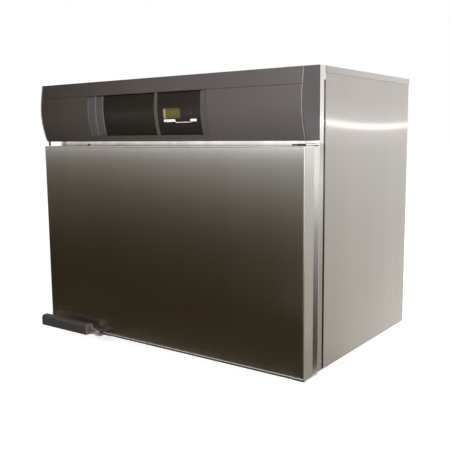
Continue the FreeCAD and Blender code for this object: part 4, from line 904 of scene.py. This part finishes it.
# The front right fold, higher up, and the top fold are painted pale and less metallic so the lamps light
# them: painted highlights.
right_fold = calculated(tree, "MULTIPLY", spread(tree, y, 1.0, 0.0, -0.2460, -0.2455),
                        spread(tree, x, 0.0, 1.0, 0.3796, 0.3800))
right_fold = calculated(tree, "MULTIPLY", right_fold, spread(tree, z, 0.0, 1.0, 0.18, 0.46))
top_fold = spread(tree, z, 0.0, 1.0, 0.4930, 0.4938)
painted_fold_highlight = calculated(tree, "MAXIMUM", top_fold, right_fold)
tree.links.new(blended(tree, painted_fold_highlight, tone, (0.74, 0.72, 0.69)), shader.inputs["Base Color"])
highlight_metal_loss = 0.7
highlight_metal_drop = calculated(tree, "MULTIPLY", painted_fold_highlight, highlight_metal_loss)
tree.links.new(calculated(tree, "SUBTRACT", 1.0, highlight_metal_drop), shader.inputs["Metallic"])


def fold_front(piece):
    """Rounds the folds round the door's front and at its four corners."""
    near = 0.0001
    spots = [v.co for v in piece.data.vertices]
    low, high = (Vector(far(spot[axis] for spot in spots) for axis in range(3)) for far in (min, max))
    for edge in piece.data.edges:
        a, b = (spots[v] for v in edge.vertices)
        at_front = all(end.y < low.y + near for end in (a, b))
        at_corner = all(min(end[axis] - low[axis], high[axis] - end[axis]) < near
                        for end in (a, b) for axis in (0, 2))
        edge.select = at_front or (at_corner and abs(a.y - b.y) > 0.001)
    bpy.ops.object.mode_set(mode="EDIT")
    bpy.ops.mesh.bevel(offset=0.0008, segments=3, affect="EDGES")
    bpy.ops.object.mode_set(mode="OBJECT")


door_pan = eased("door_front_pan", "door_outer_pan", "door", 0.0004, fold_front)
cover(door_pan, door_steel)

sweep = small_part("door_sweep", (0.5400, 0.0050, 0.0036), (0.0804, -0.2425, 0.0286), 0.0006)
cover(sweep, moulded("sweep_rubber", (0.026, 0.024, 0.021), 500.0, 0.00005, 0.6))
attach(sweep, "door")

cover(nodes["door_liner"], liner_steel)
gasket_rubber = moulded("gasket_rubber", (0.42, 0.40, 0.38), 420.0, 0.00008, 0.4, 0.04)


def gasket_ring():
    """A flat foot, a wall, a round bulb that meets the frame and a pleat inside it, with mitred corners."""
    low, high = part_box("door_gasket")
    bpy.ops.mesh.primitive_plane_add(size=1.0, location=(0.0, 0.0, 0.0))
    ring = bpy.context.object
    ring.name = "gasket_profile"
    bpy.ops.object.mode_set(mode="EDIT")
    bpy.ops.mesh.select_mode(type="FACE")
    bpy.ops.mesh.select_all(action="SELECT")
    bpy.ops.transform.resize(value=(high.x - low.x, high.z - low.z, 1.0))
    bpy.ops.transform.rotate(value=math.radians(90.0), orient_axis="X", center_override=(0.0, 0.0, 0.0))
    bpy.ops.transform.translate(value=(0.0, low.y, (low.z + high.z) / 2))
    deep = high.y - low.y
    for inward, rise in (
        (0.0, 0.30), (0.0016, 0.02), (0.0002, 0.16), (0.0008, 0.28), (0.0010, 0.16), (0.0018, 0.08),
        (0.0018, -0.08), (0.0010, -0.20), (0.0008, -0.26), (0.0010, 0.12), (0.0012, 0.10),
        (0.0012, -0.12), (0.0008, -0.26), (0.0008, -0.30),
    ):
        if inward:
            bpy.ops.mesh.inset(thickness=inward, depth=0.0, use_boundary=True)
            bpy.ops.transform.translate(value=(0.0, deep * rise, 0.0))
        else:
            bpy.ops.mesh.extrude_region_move(TRANSFORM_OT_translate={"value": (0.0, deep * rise, 0.0)})
    bpy.ops.mesh.delete(type="FACE")
    bpy.ops.object.mode_set(mode="OBJECT")
    max(ring.data.polygons, key=lambda f: f.area).select = True
    bpy.ops.object.mode_set(mode="EDIT")
    bpy.ops.mesh.delete(type="FACE")
    bpy.ops.mesh.select_mode(type="EDGE")
    bpy.ops.mesh.select_all(action="DESELECT")
    bpy.ops.mesh.select_non_manifold()
    bpy.ops.mesh.bridge_edge_loops()
    bpy.ops.mesh.select_all(action="SELECT")
    bpy.ops.mesh.normals_make_consistent(inside=False)
    bpy.ops.object.mode_set(mode="OBJECT")
    bpy.ops.object.shade_smooth_by_angle(angle=math.radians(50.0))
    ring.select_set(False)
    cover(ring, gasket_rubber)
    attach(ring, "door")
    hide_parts("door_gasket")


gasket_ring()


# ------------------------------------------------------------------ hinges
# Zinc-plated steel brackets above and below carry the pins, which turn in bronze
# bushings. The brackets' noses are painted dark: painted shade.
def plated(name, colour, metal, smooth, rough):
    """Pressed steel under dull zinc: a fine crystal and worn patches."""
    material, tree, shader, place = new_finish(name)
    crystal = noise(tree, place, 500.0, 3.0, 0.7)
    patch = noise(tree, place, 30.0, 3.0)
    tone = tones(tree, crystal, (0.3, tuple(c * 0.93 for c in colour)), (0.7, colour))
    tone = blended(tree, spread(tree, patch, 0.0, 0.6), tone, tuple(c * 0.88 for c in colour))
    dressed(tree, shader, tone, metal, spread(tree, patch, smooth, rough))
    relief(tree, shader, crystal, 0.00003)
    return material


bracket_zinc = plated("bracket_zinc", (0.62, 0.61, 0.59), 0.55, 0.34, 0.44)
tree, shader, plain, (_, y, _) = reopened(bracket_zinc)
# The brackets' noses are painted dark: painted shade.
nose_shade = spread(tree, y, 0.06, 1.0, -0.2424, -0.2410)
tree.links.new(tinted(tree, plain, nose_shade), shader.inputs["Base Color"])
cover(nodes["hinge_brackets"], bracket_zinc)
cover(nodes["hinge_pins"], bright_wire("pin_steel", (0.62, 0.61, 0.60), 0.14, 0.24))
cover(nodes["hinge_bushings"], bright_wire("bushing_bronze", (0.52, 0.34, 0.17), 0.28, 0.42))


# ------------------------------------------------------------------ catch and sensor
# A magnetic catch and a reed sensor at the door's upper left corner, with their strike
# and magnet on the door. A rubber buffer and a nylon button stand in the gap above it.
cover(nodes["magnetic_catch"], moulded("catch_plastic", (0.055, 0.030, 0.024), 600.0, 0.00004, 0.5))
cover(nodes["door_sensor"], black_nylon)
buffer_rubber = moulded("buffer_rubber", (0.075, 0.030, 0.026), 500.0, 0.00005, 0.6)
for name, size, centre, finish, body, slot in (
    ("corner_buffer", (0.0066, 0.0044, 0.0104), (-0.3655, -0.2420, 0.5002),
     buffer_rubber, "cabinet", "pedal_rubber"),
    ("pan_top_button", (0.0080, 0.0060, 0.0054), (-0.2215, -0.2400, 0.4972),
     black_nylon, "door", "black_plastic"),
):
    button = small_part(name, size, centre, 0.0005, is_round=True)
    cover(button, finish)
    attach(button, body)
cover(nodes["catch_strike"], cast_metal("strike_steel", (0.50, 0.50, 0.49)))
cover(nodes["sensor_magnet"], moulded("magnet_ferrite", (0.045, 0.040, 0.038), 900.0, 0.00006, 0.6))


# ------------------------------------------------------------------ foot opener
# A rubber bar on a bent steel lever that pivots under the door. The spring lifts the
# bar, and the lever's heel meets a stop under the cabinet.
cover_nodes(plated("dull_zinc", (0.80, 0.79, 0.77), 0.25, 0.40, 0.52), "pedal_bracket", "kick_stop")
arm = eased("pedal_arm", "pedal_lever", "pedal", 0.0006)
cover(arm, plated("arm_steel", (0.17, 0.155, 0.135), 0.35, 0.36, 0.46))
cover(nodes["pedal_pin"], nodes["hinge_pins"].data.materials[0])
cover(nodes["pedal_spring"], bright_wire("spring_wire", (0.45, 0.45, 0.46), 0.22, 0.34))

pad_low, pad_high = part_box("pedal_pad")
groove_count, first_groove, groove_pitch = 44, 0.0050, 0.0036
groove_wide, groove_deep = 0.0012, 0.0006
bottom_rim, back_rim, tread_height = 0.0012, 0.0060, 0.0150
groove_starts = [pad_low.x + first_groove + step * groove_pitch for step in range(groove_count)]
pad = eased("pedal_pad_ribbed", "pedal_pad", "pedal", 0.0010)
pad.select_set(True)
bpy.context.view_layer.objects.active = pad
bpy.ops.mesh.customdata_custom_splitnormals_clear()
bpy.ops.object.mode_set(mode="EDIT")
for start in groove_starts:
    for cut in (start, start + groove_wide):
        bpy.ops.mesh.select_all(action="SELECT")
        bpy.ops.mesh.bisect(plane_co=(cut, 0.0, 0.0), plane_no=(1.0, 0.0, 0.0))
bpy.ops.mesh.select_mode(type="FACE")
bpy.ops.mesh.select_all(action="DESELECT")
bpy.ops.object.mode_set(mode="OBJECT")
for face in pad.data.polygons:
    in_groove = any(start < face.center.x < start + groove_wide for start in groove_starts)
    inside_rim = face.center.z > pad_low.z + bottom_rim and face.center.y < pad_high.y - back_rim
    on_top = face.normal.z > 0.35 and face.center.z > pad_low.z + tread_height
    face.select = in_groove and inside_rim and (face.normal.y < -0.25 or on_top)
bpy.ops.object.mode_set(mode="EDIT")
bpy.ops.mesh.inset(thickness=0.00005, depth=-groove_deep)
bpy.ops.object.mode_set(mode="OBJECT")
bpy.ops.object.shade_smooth_by_angle(angle=math.radians(35.0))
pad.select_set(False)
pedal_rubber = moulded("pedal_rubber", (0.043, 0.037, 0.035), 480.0, 0.00012, 0.55)
tree, shader, plain, (x, y, _) = reopened(pedal_rubber)
# The pad is painted darker and browner over the back of its top, and much lighter and warmer on its back
# face, which the door mirrors: painted shade and a painted reflection.
behind = ramp_along(tree, y, -0.280, -0.2585, [
    (0.0, 1.0), (0.35, (0.85, 0.72, 0.58)), (0.75, (0.85, 0.72, 0.58)), (1.0, (3.0, 2.4, 1.7)),
])
# The pad's right end is painted lighter: a painted highlight.
end_highlight = spread(tree, x, 1.0, 1.9, -0.2145, -0.2125)
tree.links.new(tinted(tree, tinted(tree, plain, behind), end_highlight), shader.inputs["Base Color"])
cover(pad, pedal_rubber)
